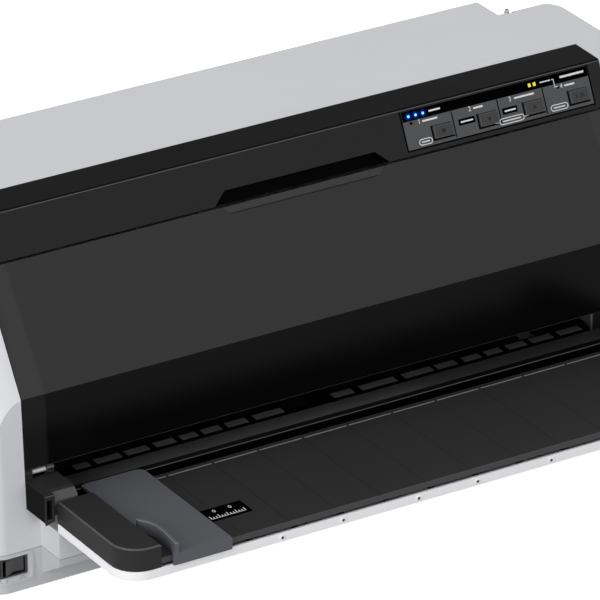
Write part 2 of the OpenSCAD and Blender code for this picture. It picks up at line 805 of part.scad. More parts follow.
module switch_housing() color("#1a1a1a") placed() difference() {
    block([switch_x0 + gap, 1.6, switch_low + gap], [switch_x1 - gap, switch_d - gap, switch_top - gap]);
    block([rocker_c.x - rocker_half - gap, 0, switch_low + 1.2],
          [rocker_c.x + rocker_half + gap, switch_d - 1.5, switch_top - 1.2]);
    translate([rocker_c.x, rocker_c.y, switch_low]) cylinder(h = switch_top - switch_low, r = 1 + fit);
}

module power_rocker() color("#101010") placed() translate([rocker_c.x, rocker_c.y, 0])
    rotate([0, 0, rocker_tilt]) {
        translate([0, 0, switch_low + 1.5]) linear_extrude(switch_top - switch_low - 3) polygon([
            [-rocker_half + 0.6, -6.6], [0, -5.4], [rocker_half - 0.6, -6.6],
            [rocker_half - 1.4, -1.5], [2.4, 2.2], [-2.4, 2.2], [-rocker_half + 1.4, -1.5]
        ]);
        translate([0, 0, switch_low + 0.6]) cylinder(h = switch_top - switch_low - 1.2, r = 1);
    }

module hinge_pins() color("silver") placed() both()
    rod([pin_y, pin_h], pin_r, ear_in, open_half + wall);

module cover() color([0.2, 0.2, 0.2, 0.85]) placed() {
    top_len = cover_len - cover_gap;
    outline = [
        [front_y(cover_low_h), cover_low_h, 0], [front_y(cover_low_h) + skin, cover_low_h, 0],
        [kink_y + skin, kink_h - skin * 0.3, 0],
        [kink_y + top_len * sin(cover_lean) + skin * cos(cover_lean),
         kink_h + top_len * cos(cover_lean) - skin * sin(cover_lean), 0],
        [kink_y + top_len * sin(cover_lean), kink_h + top_len * cos(cover_lean), 0],
        [kink_y, kink_h, 1.5]
    ];
    difference() {
        union() {
            along_x(-cover_half, cover_half) polygon(rounded(outline));
            both() along_x(cover_half - skin, cover_half) polygon([
                [front_y(cover_low_h + 8) + 1, cover_low_h + 8],
                [front_y(cover_low_h + 8) + cover_flange, cover_low_h + 14],
                [kink_y + cover_flange, kink_h - 3],
                [kink_y + top_len * sin(cover_lean) + cover_flange - 2,
                 kink_h + top_len * cos(cover_lean) - 6],
                [kink_y + top_len * sin(cover_lean) + 1, kink_h + top_len * cos(cover_lean) - 1.5],
                [kink_y + 1, kink_h]
            ]);
            both() difference() {
                union() {
                    rod([pin_y, pin_h], ear_r, ear_in + 0.4, ear_in + 0.4 + ear_w);
                    along_x(ear_in + 0.4, ear_in + 0.4 + ear_w) polygon([
                        [pin_y - 1, pin_h], [pin_y + ear_r, pin_h],
                        [pin_y + ear_r, cover_low_h + 12], [front_y(cover_low_h + 16) + 1, cover_low_h + 16],
                        [front_y(cover_low_h) + 1, cover_low_h + 0.6]
                    ]);
                }
                rod([pin_y, pin_h], pin_r + fit, ear_in - over, ear_in + ear_w + over);
            }
        }
        on_cover() intersection() {
            translate([0, -over, cover_len]) rotate([-90, 0, 0]) linear_extrude(skin + over)
                polygon([[-grip_low_w / 2, -over], [grip_low_w / 2, -over],
                         [grip_low_w / 2 - 8, pull_h], [8 - grip_low_w / 2, pull_h]]);
            along_x(-grip_low_w, grip_low_w) polygon([
                [-over, cover_len - pull_h], [pull_step, cover_len - pull_h],
                [pull_d, cover_len - cover_gap], [pull_d, cover_len + over], [-over, cover_len + over]
            ]);
        }
    }
}

module table_top() color("#262628") placed() {
    front = -table_reach;
    difference() {
        union() {
            block([-arm_in - 0.5, front + 1, deck_h - deck_t], [arm_in + 0.5, -table_rear, deck_h]);
            block([-arm_in - 0.5, front, deck_h - bar_h], [arm_in + 0.5, front + 3, deck_h]);
            both() arm();
            for (i = [-5 : 5]) block([i * groove_pitch - 1, front + 5, tray_low + 2],
                                     [i * groove_pitch + 1, -table_rear - 3, deck_h - deck_t + 0.2]);
        }
        for (i = [-5 : 4]) translate([(i + 0.74) * groove_pitch, 0, 0]) {
            block([-0.35, front - over, deck_h - 0.15], [0.35, -table_rear + over, deck_h + over]);
            block([-0.6, -table_rear - 1.5, deck_h - 1], [0.6, -table_rear + over, deck_h + over]);
        }
        both() socket_cut();
    }
}

// Raised side arm of the table, a deep shell
module arm() difference() {
    arm_solid(0, tray_top + gap, arm_h);
    arm_solid(2, tray_top, arm_h - 2);
}

module arm_solid(d, low, top) {
    r = table_r - d;
    translate([0, 0, low]) linear_extrude(top - low) difference() {
        translate([arm_in + d, -table_reach + d])
            square([arm_w - 2 * d, table_reach - arm_rear - 2 * d]);
        translate([table_half - table_r, -table_reach + table_r]) difference() {
            translate([0, -table_r - over]) square([table_r + over, table_r + over]);
            circle(r);
        }
    }
}

// Socket that the hinge block's tongue sits in
module socket_cut() {
    block([block_in + 3 - gap, -arm_rear - 6, block_low + 2 - gap],
          [table_half - 5 + gap, -arm_rear + over, block_mid + 2 + gap]);
}

module table_tray() color("whitesmoke") placed() difference() {
    tray_solid(0, tray_low, tray_top);
    tray_solid(2, tray_low + 1.8, tray_top + over);
    block([-arm_in, -table_rear - over * 4, tray_low + 2.5], [arm_in, -table_rear + over, tray_top + over]);
}

module tray_solid(d, low, top) {
    translate([0, 0, low]) linear_extrude(top - low) {
        translate([-table_half + d, -table_reach + table_r])
            square([2 * (table_half - d), table_reach - table_r - arm_rear - d]);
        translate([-table_half + table_r, -table_reach + d])
            square([2 * (table_half - table_r), table_r]);
        for (s = [-1, 1]) translate([s * (table_half - table_r), -table_reach + table_r])
            circle(table_r - d);
        translate([-arm_in, -arm_rear - 4]) square([2 * arm_in, arm_rear + 4 - table_rear - d]);
    }
}

module hinge_blocks() color("#1e1e20") placed() both() difference() {
    union() {
        along_x(block_in, block_out - block_box_w) {
            translate([-block_front + block_r, block_mid]) circle(block_r);
            translate([-block_front + block_r, block_low]) square([pin_y + block_front - block_r, 2 * block_r]);
        }
        along_x(block_out - block_box_w, block_out) polygon([
            [-block_front - 0.2, block_low], [pin_y + 1, block_low], [pin_y + 1, block_top],
            [-block_front - 0.2, block_top]
        ]);
        block([block_in + 3, -arm_rear - 5, block_low + 2], [table_half - 5, -block_front + 4, block_mid + 2]);
    }
    block([block_out - block_box_w + 1.4, -block_front - over, block_low + 1.6],
          [block_out - 1.4, pin_y - 6, block_top - 3]);
}

// Ears on the blocks' rear ends, which the table turns with about the pins
module hinge_ears() color("#1e1e20") placed() both() difference() {
    along_x(block_out - lug_w, block_out) {
        translate([pin_y, pin_h]) circle(ear_r);
        translate([pin_y - ear_r, block_top]) square([2 * ear_r, pin_h - block_top]);
    }
    rod([pin_y, pin_h], pin_r + fit, block_out - lug_w - over, block_out + over);
}

module edge_guide() color("#505158") placed() {
    low = deck_h + gap;
    x1 = guide_x0 + guide_w;
    y0 = -front_reach;
    translate([0, 0, low]) linear_extrude(guide_t) polygon(rounded([
        [x1, y0, 0], [x1, guide_rear, 5], [guide_x0, guide_rear, 2], [guide_x0, -61, 0],
        [guide_x0 + 2, -61, 0], [guide_x0 + 4.4, -67, 3], [guide_x0 + 6, -73, 3],
        [guide_x0 + 6, -80, 3], [guide_x0 + 4.2, y0, 0]
    ], 3));
    block([guide_x0, -62, low], [guide_x0 + 1.8, guide_rear - 5, low + fence_h]);
    translate([0, 0, low]) linear_extrude(thumb_h) polygon([
        [guide_x0, -60], [guide_x0 + 1.8, -60], [guide_x0 + 5.6, -66], [guide_x0 + 7.6, -72],
        [guide_x0 + 7.6, -80], [guide_x0 + 6, y0], [guide_x0 + 3.6, y0], [guide_x0 + 5.4, -80],
        [guide_x0 + 5.4, -73], [guide_x0 + 3.8, -67.5], [guide_x0, -62]
    ]);
    block([guide_x0 + 3, y0, tray_top + 0.2], [x1, y0 + guide_wrap_t, low + guide_t]);
    block([guide_x0 + 6, y0, tray_top + 0.35], [x1 - 3, -table_reach + 3.5, deck_h - bar_h - gap]);
}

module paper_lip() color("#3a3a3c") placed() along_x(gap - block_in, block_in - gap) polygon([
    [-3, corbel_top_h + gap], [lip_back, corbel_top_h + gap], [lip_back, deck_h], [2.9, deck_h],
    [2.3, deck_h - 0.6], [2.3, deck_h - 5], [-3, deck_h - 5]
]);

module paper_comb() color("#4a4a4a") placed() {
    block([gap - frame_half, lip_back + gap, corbel_top_h + gap],
          [frame_half - gap, comb_back + 1, deck_h - comb_rise]);
    for (c = comb_fingers) block([c[0], comb_front, deck_h - comb_rise - 0.5], [c[1], comb_back, deck_h + 0.3]);
}

module paper_bed() color("#2c2c2e") placed() difference() {
    block([gap - frame_half, comb_back + 1 + gap, bed_top - bed_t],
          [frame_half - gap, bay_wall_y, bed_top]);
    for (c = [[feed_front_y, feed_ring_r], [platen_y, platen_r], [feed_rear_y, feed_ring_r]])
        block([-platen_half - 3, c.x - c.y - 1.2, bed_top - bed_t - over],
              [platen_half + 3, c.x + c.y + 1.2, bed_top + over]);
}

module side_frames() color("silver") placed() {
    side_frame(-1);
    side_frame(1);
}

// Steel side frame with its foot, on the left (-1) or the right (1)
module side_frame(s) mirror([s < 0 ? 1 : 0, 0, 0]) {
    difference() {
        union() {
            along_x(frame_half, frame_out) polygon(rounded([
                [frame_front, frame_low, 0], [bay_wall_y - 8, frame_low, 0],
                [bay_wall_y - 8, bay_floor_h + 1, 0], [frame_rear, bay_floor_h + 1, 2],
                [frame_rear, deck_h + 1, 4], [bay_wall_y - 6, deck_h + 1, 0],
                [bay_wall_y - 8, beam_h + 10, 6], [rod_y - 30, beam_h + 22, 8],
                [frame_front, beam_h - 14, 6]
            ]));
            block([frame_half - 14, frame_front + 8, frame_low],
                  [frame_out, bay_wall_y - 12, frame_low + frame_t]);
            if (s > 0) rod(lever_c, 3, frame_out - over, lever_x + lever_w / 2 + 2);
            if (s > 0) rod(gap_c, 3, gap_x - 2, frame_out);
            if (s < 0) for (c = [idler_front_c, idler_rear_c, wheel_c])
                rod(c, stud_r, frame_out - over, gear_x + gear_w + 1);
        }
        for (c = [platen_c]) rod(c, journal_r + fit, frame_half - over, frame_out + over);
        for (c = [feed_front_c, feed_rear_c, tractor_c])
            rod(c, bar_r + fit, frame_half - over, frame_out + over);
        rod([bar_y, tractor_h], bar_r + fit, frame_half - over, frame_out + over);
        rod([rod_y, rod_h], rod_r + fit, frame_half - over, frame_out + over);
        for (y = frame_screw_y) translate([frame_half - boss_in, y, frame_low - over])
            cylinder(h = frame_t + 2 * over, r = screw_r + 0.1);
        if (s < 0) for (p = bracket_posts) rod(p, screw_r + 0.1, frame_half - over, frame_out + over);
        for (y = beam_screw_y) rod([y, beam_screw_h], screw_r + 0.1, frame_half - over, frame_out + over);
    }
}

module guide_shaft() color("gainsboro") placed() rod([rod_y, rod_h], rod_r, -frame_out - 2, frame_out + 2);

module tractor_bar() color("gainsboro") placed()
    rod([bar_y, tractor_h], bar_r, -frame_out - 1, frame_out + 1);

module rear_beam() color("lightgray") placed() {
    difference() {
        union() {
            block([gap - frame_half, pulley_y - beam_half_d, beam_h - beam_t],
                  [frame_half - gap, pulley_y + beam_half_d, beam_h]);
            block([gap - frame_half, pulley_y + beam_half_d - beam_t, beam_h - 18],
                  [frame_half - gap, pulley_y + beam_half_d, beam_h]);
            both() block([frame_half - gap - beam_t, pulley_y - 20, beam_h - 14],
                         [frame_half - gap, pulley_y + 20, beam_h]);
        }
        translate([pulley_half, pulley_y, beam_h - 2 * beam_t]) cylinder(h = 3 * beam_t, r = 11.3);
        both() for (y = beam_screw_y)
            rod([y, beam_screw_h], screw_r - 0.2, frame_half - 6, frame_half + 1);
    }
    translate([-pulley_half, pulley_y, beam_h - over]) cylinder(h = belt_w + 6, r = stud_r);
}

// Outline of one gear: involute flanks from the base circle to the tip, straight roots
module gear_outline(n, turn) {
    pitch = gear_m * n / 2;
    base = pitch * cos(pressure);
    tip = pitch + 0.8 * gear_m;
    root = pitch - 1.15 * gear_m;
    start = max(base, root);
    radii = [for (k = [0 : flank_steps]) start + (tip - start) * k / flank_steps];
    polygon([
        for (i = [0 : n - 1])
            let (a = turn + i * 360 / n, h0 = tooth_half(n, start))
            each concat(
                [root * [cos(a - h0), sin(a - h0)]],
                [for (r = radii) let (h = tooth_half(n, r)) r * [cos(a - h), sin(a - h)]],
                [for (k = [flank_steps : -1 : 0])
                    let (r = radii[k], h = tooth_half(n, r)) r * [cos(a + h), sin(a + h)]],
                [root * [cos(a + h0), sin(a + h0)]]
            )
    ]);
}

// Half the angle that a tooth of a gear with n teeth fills at radius r
function tooth_half(n, r) =
    let (pitch = gear_m * n / 2, base = pitch * cos(pressure))
    90 / n + flank_angle(base, pitch) - flank_angle(base, r) - gear_play / pitch * 45 / PI;

// Polar angle of an involute where it reaches radius r
function flank_angle(base, r) = let (a = acos(min(1, base / r))) tan(a) * 180 / PI - a;

// A gear on the left, with its bore
module gear(c, n, turn, bore) translate([-gear_x - gear_w, c.x, c.y]) rotate([90, 0, 90])
    difference() {
        union() {
            linear_extrude(gear_w) gear_outline(n, turn);
            translate([0, 0, -0.6]) cylinder(h = gear_w + 1.2, r = gear_m * n / 2 - 4.2);
        }
        translate([0, 0, -2]) cylinder(h = gear_w + 4, r = bore);
    }

module platen() color("#202020") placed() difference() {
    rod(platen_c, platen_r, -platen_half, platen_half);
    rod(platen_c, platen_shaft_r + fit, -platen_half - over, platen_half + over);
}

module platen_shaft() color("lightgray") placed() {
    rod(platen_c, platen_shaft_r, -platen_half - 2, platen_half + 2);
    rod(platen_c, journal_r, -gear_x - gear_w - 1, frame_out + 2);
    gear(platen_c, platen_n, platen_turn, journal_r - 0.5);
}

module idler_front() color("ivory") placed()
    gear(idler_front_c, idler_n, idler_front_turn, stud_r + fit);

module idler_rear() color("ivory") placed()
    gear(idler_rear_c, idler_n, idler_rear_turn, stud_r + fit);

module idler_tractor() color("ivory") placed() difference() {
    gear(wheel_c, wheel_n, wheel_turn, stud_r + fit);
    for (k = [0 : 5]) translate([-gear_x - gear_w - 2, wheel_c.x, wheel_c.y]) rotate([90, 0, 90])
        rotate([0, 0, k * 60]) translate([15, 0, 0]) cylinder(h = gear_w + 4, r = 5.5);
}

// A feed roller: shaft, journals, rubber rings and its gear
module feed_roller(c, turn) {
    rod(c, feed_shaft_r, -frame_half + 2, frame_half - 2);
    rod(c, bar_r, -gear_x - gear_w - 1, frame_out + 2);
    for (i = [0 : feed_rings - 1])
        let (x = (i - (feed_rings - 1) / 2) * feed_ring_pitch)
        rod(c, feed_ring_r, x - feed_ring_w / 2, x + feed_ring_w / 2);
    gear(c, feed_n, turn, bar_r - 0.5);
}

module feed_front() color("dimgray") placed() feed_roller(feed_front_c, feed_front_turn);

module feed_rear() color("dimgray") placed() feed_roller(feed_rear_c, feed_rear_turn);

module tractor_shaft() color("gray") placed() {
    along_x(-frame_half + 4, frame_half - 4) translate(tractor_c) square(tractor_sq, center = true);
    rod(tractor_c, bar_r, -gear_x - gear_w - 1, frame_out + 2);
    gear(tractor_c, feed_n, tractor_turn, bar_r - 0.5);
}

module motor_pinion() color("goldenrod") placed() {
    gear(pinion_c, pinion_n, pinion_turn_0, stud_r - 0.5);
    rod(pinion_c, stud_r, -motor_x - 8, -gear_x + 1);
}

// A stepper motor: laminated middle, end caps and front boss, its face at z = 0, body below
module motor(len, side) difference() {
    union() {
        translate([0, 0, -len / 2]) intersection() {
            cube([side, side, len], center = true);
            rotate([0, 0, 45]) cube([side * 1.28, side * 1.28, len], center = true);
        }
        translate([0, 0, -over]) cylinder(h = over + 1.4, r = 11);
    }
    translate([0, 0, -12]) cylinder(h = 20, r = stud_r + fit);
}

module feed_motor() color("dimgray") placed()
    translate([-motor_x - gap, pinion_c.x, pinion_c.y]) rotate([0, 90, 0]) motor(motor_len, motor_side);

module motor_bracket() color("lightgray") placed() {
    difference() {
        block([-motor_x, pinion_c.x - 24, pinion_c.y - 24], [-bracket_x, pinion_c.x + 28, pinion_c.y + 24]);
        rod(pinion_c, 11.3, -motor_x - over, -bracket_x + over);
    }
    for (p = bracket_posts) difference() {
        rod(p, 3, -bracket_x, -frame_out);
        rod(p, screw_r - 0.2, -bracket_x + 2, -frame_out + over);
    }
}

// A tractor unit: rounded block on both shafts, pins on top, and the ears of its lid
module tractor(x) difference() {
    union() {
        difference() {
            union() {
                along_x(x - tractor_w / 2, x + tractor_w / 2) {
                    translate(tractor_c) circle(tractor_half_h);
                    translate([bar_y, tractor_h]) circle(tractor_half_h);
                    translate([tractor_y, tractor_h - tractor_half_h])
                        square([bar_y - tractor_y, 2 * tractor_half_h]);
                }
                for (k = [0, 1]) translate([x, tractor_y - 3 + pin_pitch * k, tractor_h + 6])
                    cylinder(h = 4.4, r1 = 1.6, r2 = 1.2);
            }
            lid_seat(x);
        }
        lid_lugs(x);
    }
    rod(tractor_c, tractor_sq * 0.75, x - tractor_w / 2 - over, x + tractor_w / 2 + over);
    rod([bar_y, tractor_h], bar_r + fit, x - tractor_w / 2 - over, x + tractor_w / 2 + over);
}

// Lugs and pin that the lid of the tractor at x turns on
module lid_lugs(x) {
    translate([x + sign(x) * lid_axis_in, 0, lid_axis_h]) rotate([-90, 0, 0]) {
        translate([0, 0, lid_y0 - lid_lug]) cylinder(h = lid_y1 - lid_y0 + 2 * lid_lug, r = lid_pin_r);
        for (y = [lid_y0 - gap - lid_lug, lid_y1 + gap]) {
            translate([0, 0, y]) cylinder(h = lid_lug, r = 1.8);
            translate([-1.4, 0, y]) cube([2.8, 4, lid_lug]);
        }
    }
}

// Room at the outer edge for the lid's knuckle
module lid_seat(x) {
    s = sign(x);
    block([min(x + s * (tractor_w / 2 - 5), x + s * (tractor_w / 2 + over)), tractor_y - 10, lid_axis_h - 3],
          [max(x + s * (tractor_w / 2 - 5), x + s * (tractor_w / 2 + over)), bar_y + 14, lid_axis_h + 9]);
}

module tractor_lid(x) {
    s = sign(x);
    hinge_x = x + s * lid_axis_in;
    inner = x - s * tractor_w / 2;
    difference() {
        union() {
            translate([hinge_x, lid_y0, lid_axis_h]) rotate([-90, 0, 0]) cylinder(h = lid_y1 - lid_y0, r = 2);
            block([min(hinge_x + s * 2, hinge_x), lid_y0, lid_axis_h],
                  [max(hinge_x + s * 2, hinge_x), lid_y1, lid_axis_h + 4.6]);
            block([min(hinge_x + s * 2, inner), tractor_y - 8, lid_axis_h + 3.9],
                  [max(hinge_x + s * 2, inner), bar_y + 6, lid_axis_h + 3.9 + lid_t]);
        }
        block([x - 2.6, tractor_y - 6, lid_axis_h + 2], [x + 2.6, bar_y + 4, lid_axis_h + 8]);
        translate([hinge_x, lid_y0 - over, lid_axis_h]) rotate([-90, 0, 0])
            cylinder(h = lid_y1 - lid_y0 + 2 * over, r = lid_pin_r + fit);
    }
}

module tractor_left() color("#333333") placed() tractor(-tractor_rest);

module tractor_right() color("#333333") placed() tractor(tractor_rest);

module tractor_lid_left() color("#444444") placed() tractor_lid(-tractor_rest);

module tractor_lid_right() color("#444444") placed() tractor_lid(tractor_rest);

module rear_guide() color("#333333") placed() {
    half = guide_half;
    difference() {
        union() {
            along_x(-half, half) {
                translate(rear_pivot) circle(3);
                polygon([[rear_pivot.x, rear_pivot.y - 1], [rear_reach, deck_h - 3],
                         [rear_reach, deck_h - 1], [rear_pivot.x - 1, rear_pivot.y + 1]]);
            }
            for (i = [-6 : 6]) along_x(i * 28 - 0.8, i * 28 + 0.8) polygon([
                [rear_pivot.x, rear_pivot.y - 2.4], [rear_reach - 6, deck_h - 7],
                [rear_reach, deck_h - 3], [rear_pivot.x, rear_pivot.y]
            ]);
        }
        both() rod(rear_pivot, rear_pin_r + fit, half - 9, half + over);
    }
}

module carriage() color("#3c3c3f") placed() translate([carriage_x, 0, 0]) difference() {
    union() {
        block([-carriage_half, head_y1 + gap, saddle_low], [carriage_half, rod_y + 8, beam_h]);
        both() block([head_half + gap * 2, head_y0, saddle_low],
                     [head_half + saddle_rim, head_y1 + over, saddle_low + 18]);
        block([-head_half - saddle_rim, head_y0, saddle_low],
              [head_half + saddle_rim, head_y1 + over, saddle_low + saddle_t]);
        block([-8, rod_y + 4, beam_h + gap], [8, belt_front - gap, belt_low + belt_w + 2]);
        block([-8, rod_y + 4, belt_low + belt_w + gap], [8, belt_front + belt_t + 2.4, belt_low + belt_w + 2]);
        block([-8, belt_front + belt_t + gap, beam_h + gap], [8, belt_front + belt_t + 2.4, belt_low + belt_w + 2]);
        block([-8, rod_y + 2, beam_h - 4], [8, rod_y + 8, belt_low + belt_w]);
    }
    rod([rod_y, rod_h], rod_r + fit, -carriage_half - over, carriage_half + over);
    block([-nose_w / 2 - 0.6, head_y0 + 2, saddle_low - over],
          [nose_w / 2 + 0.6, head_y1 - 2, saddle_low + saddle_t + over]);
}

module print_head() color("#77797c") placed() translate([carriage_x, 0, 0]) {
    difference() {
        block([-head_half, head_y0, head_low], [head_half, head_y1, head_top]);
        both() for (k = [0 : 6]) block([4, head_y0 - over, head_low + 5 + k * fin_pitch],
                                       [head_half + over, head_y0 + 6, head_low + 7.6 + k * fin_pitch]);
    }
    along_x(-nose_w / 2, nose_w / 2) polygon([
        [platen_y - 5.5, head_low + 0.3], [platen_y - 2, nose_h], [platen_y + 2, nose_h],
        [platen_y + 5.5, head_low + 0.3]
    ]);
}

// Plan of the belt's loop, grown by d
module belt_plan(d) {
    translate([-pulley_half, -belt_in - d]) square([2 * pulley_half, 2 * (belt_in + d)]);
    for (s = [-1, 1]) translate([s * pulley_half, 0]) circle(belt_in + d);
}

module drive_belt() color("#151515") placed() translate([0, pulley_y, belt_low])
    linear_extrude(belt_w) difference() {
        belt_plan(belt_t);
        belt_plan(0);
    }

// A belt pulley with two flanges, bored for its stud or solid on its shaft
module pulley(bore) rotate_extrude() polygon([
    [bore, -0.8 - over], [pulley_r + 2.6, -0.8 - over], [pulley_r + 2.6, -0.6], [pulley_r, -0.4],
    [pulley_r, belt_w + 0.4], [pulley_r + 2.6, belt_w + 0.6], [pulley_r + 2.6, belt_w + 1.6],
    [bore, belt_w + 1.6]
]);

module pulley_left() color("ivory") placed()
    translate([-pulley_half, pulley_y, belt_low]) pulley(stud_r + fit);

module pulley_right() color("ivory") placed() translate([pulley_half, pulley_y, belt_low]) {
    pulley(0);
    translate([0, 0, beam_h - beam_t - belt_low - 10]) cylinder(h = 14, r = stud_r);
}

module carriage_motor() color("dimgray") placed()
    translate([pulley_half, pulley_y, beam_h - beam_t - gap]) motor(motor_len, motor_side);

module ribbon_cartridge() color("#1b1b1d") placed() difference() {
    union() {
        along_x(-cart_half - cart_arm - 2, cart_half + cart_arm + 2) polygon(rounded([
            [cart_front, cart_low, 3], [cart_back, cart_low, 3], [cart_back, cart_top, 3],
            [cart_front, cart_top, 3]
        ]));
        both() along_x(cart_half + 2, cart_half + 2 + cart_arm) polygon(rounded([
            [platen_y - 9, ribbon_top + gap, 2], [platen_y + 9, ribbon_top + gap, 2],
            [platen_y + 9, 72, 3], [cart_back - 2, cart_top - 2, 3], [cart_front + 2, cart_low + 2, 2]
        ]));
        both() block([cart_half + cart_arm, 38, cart_low + 6], [frame_half - gap, 46, cart_low + 10]);
    }
    translate([knob_c.x, knob_c.y, cart_low + 4]) cylinder(h = cart_top, r = 2 + fit);
}

module ribbon() color("black") placed()
    block([-cart_half - cart_arm, platen_y - 6.5, ribbon_low], [cart_half + cart_arm, platen_y + 6.5, ribbon_top]);

module ribbon_knob() color("#3a3a3a") placed() translate([knob_c.x, knob_c.y, cart_top + gap]) {
    difference() {
        cylinder(h = 8, r = 8);
        for (k = [0 : 11]) rotate([0, 0, k * 30]) translate([8.6, 0, 1.5]) cylinder(h = 8, r = 1.3);
    }
    translate([0, 0, -12]) cylinder(h = 12.5, r = 2);
}

// A flat lever with a round hub, standing up from its axis along X
module lever(c, w, reach_h, bore) difference() {
    union() {
        rod(c, 6.5, -w / 2, w / 2);
        block([-w / 2, c.x - 3.2, c.y], [w / 2, c.x + 3.2, reach_h]);
    }
    rod(c, bore, -w, w);
}

module gap_lever() color("#2f5f8f") placed() translate([gap_x + 2.5, 0, 0]) {
    lever(gap_c, 3.6, gap_c.y + 34, 3 + fit);
    block([-4, gap_c.x - 4.2, gap_c.y + 34], [4, gap_c.x + 4.2, gap_c.y + 40]);
}

module release_lever() color("#1c1c1c") placed() translate([lever_x, 0, 0]) difference() {
    union() {
        rod(lever_c, 6.5, -lever_w / 2, lever_w / 2);
        along_x(-lever_w / 2, lever_w / 2) polygon([
            [lever_c.x - 3.5, lever_c.y], [lever_c.x + 3.5, lever_c.y],
            [cheek_rear_y + 5, case_h - 22], [cheek_rear_y + 5, case_h - 6],
            [cheek_rear_y - 1, case_h - 6], [cheek_rear_y - 1, case_h - 22]
        ]);
        along_x(-lever_tip_w / 2, lever_tip_w / 2) polygon(rounded([
            [cheek_rear_y, case_h - 7, 0], [cheek_rear_y + 4, case_h - 7, 0],
            [cheek_rear_y + 3, case_h + 0.2, 1], [cheek_rear_y + 1, case_h + 0.2, 1]
        ]));
    }
    rod(lever_c, 3 + fit, -lever_w, lever_w);
}

module main_board() color("darkgreen") placed()
    translate([board_x0, board_y0, foot_proud + wall + board_boss_h]) {
        cube([board_x1 - board_x0, board_y1 - board_y0, board_t]);
        for (c = board_chips) translate([c[0] - c[2] / 2, c[1] - c[3] / 2, board_t - 0.1])
            cube([c[2], c[3], c[4] + 0.1]);
    }

module power_unit() color("darkkhaki") placed() translate([power_x0, power_y0, foot_proud + wall]) {
    block([0, 0, board_boss_h], [power_w, power_d, board_boss_h + board_t]);
    block([8, 8, board_boss_h + board_t - 0.1], [48, 52, 34]);
    block([58, 4, board_boss_h + board_t - 0.1], [64, 60, 30]);
    for (x = [76, 90], y = [16, 38]) translate([x, y, board_boss_h + board_t - 0.1]) cylinder(h = 24, r = 6);
    for (x = [4, power_w - 4], y = [4, power_d - 4]) translate([x, y, 0])
        cylinder(h = board_boss_h + 0.1, r = 3);
}

module ac_inlet() color("#1a1a1a") placed() difference() {
    block([inlet_x - inlet_w / 2, base_d - 22, inlet_mid - inlet_h / 2],
          [inlet_x + inlet_w / 2, base_d, inlet_mid + inlet_h / 2]);
    difference() {
        block([inlet_x - inlet_w / 2 + 1.5, base_d - 18, inlet_mid - inlet_h / 2 + 1.5],
              [inlet_x + inlet_w / 2 - 1.5, base_d + over, inlet_mid + inlet_h / 2 - 1.5]);
        for (p = [[-7, 1.5], [0, -2], [7, 1.5]])
            block([inlet_x + p.x - 1, base_d - 18 - over, inlet_mid + p.y - 2.5],
                  [inlet_x + p.x + 1, base_d - 6, inlet_mid + p.y + 2.5]);
    }
}

module data_ports() color("darkgray") placed() for (i = [0, 1]) difference() {
    block([port_x[i], base_d - 16, port_low], [port_x[i] + port_w[i], base_d - 0.4, port_low + port_h[i]]);
    block([port_x[i] + 1.2, base_d - 12, port_low + 1.2],
          [port_x[i] + port_w[i] - 1.2, base_d + over, port_low + port_h[i] - 1.2]);
}

module case_screws() color("silver") placed() both() for (y = case_screw_y)
    translate([case_screw_x, y, foot_proud + 0.2]) cylinder(h = case_screw_l, r = screw_r);

module frame_screws() color("silver") placed() {
    both() for (y = frame_screw_y) translate([frame_half - boss_in, y, frame_low + frame_t]) {
        cylinder(h = 2.2, r = 3);
        translate([0, 0, -frame_t - boss_h + 0.4]) cylinder(h = frame_t + boss_h, r = screw_r - 0.4);
    }
    both() for (y = beam_screw_y) {
        rod([y, beam_screw_h], screw_r - 0.4, frame_half - 4, frame_out + 1);
        rod([y, beam_screw_h], 3, frame_out, frame_out + 2.2);
    }
}

lower_case();
upper_case();
feet();
control_strip();
panel_face();
status_lamps();
button_1();
button_2();
button_3();
button_4();
switch_housing();
power_rocker();
hinge_pins();
cover();
table_top();
table_tray();
hinge_blocks();
hinge_ears();
edge_guide();
paper_lip();
paper_comb();
paper_bed();
side_frames();
rear_beam();
guide_shaft();
tractor_bar();
platen();
platen_shaft();
idler_front();
feed_front();
idler_rear();
feed_rear();
idler_tractor();
tractor_shaft();
motor_pinion();
feed_motor();
motor_bracket();
tractor_left();
tractor_right();
tractor_lid_left();
tractor_lid_right();
rear_guide();
carriage();
print_head();
drive_belt();
pulley_left();
pulley_right();
carriage_motor();
ribbon_cartridge();
ribbon();
ribbon_knob();
gap_lever();
release_lever();
main_board();
power_unit();
ac_inlet();
data_ports();
case_screws();
frame_screws();
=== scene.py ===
"""Looks of the flatbed dot matrix printer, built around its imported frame.

Lengths are written in millimetres and leave the helpers in metres, apart from the studio's floor
and lamps, which are written in metres. A depth y is counted from the front foot of the base, as
in the part's source, and `place` moves it to the row's middle.
"""

from __future__ import annotations

import json
import logging
import math
from dataclasses import dataclass, field
from enum import Enum
from typing import Callable, Iterable, Sequence

import bpy
from mathutils import Matrix, Vector

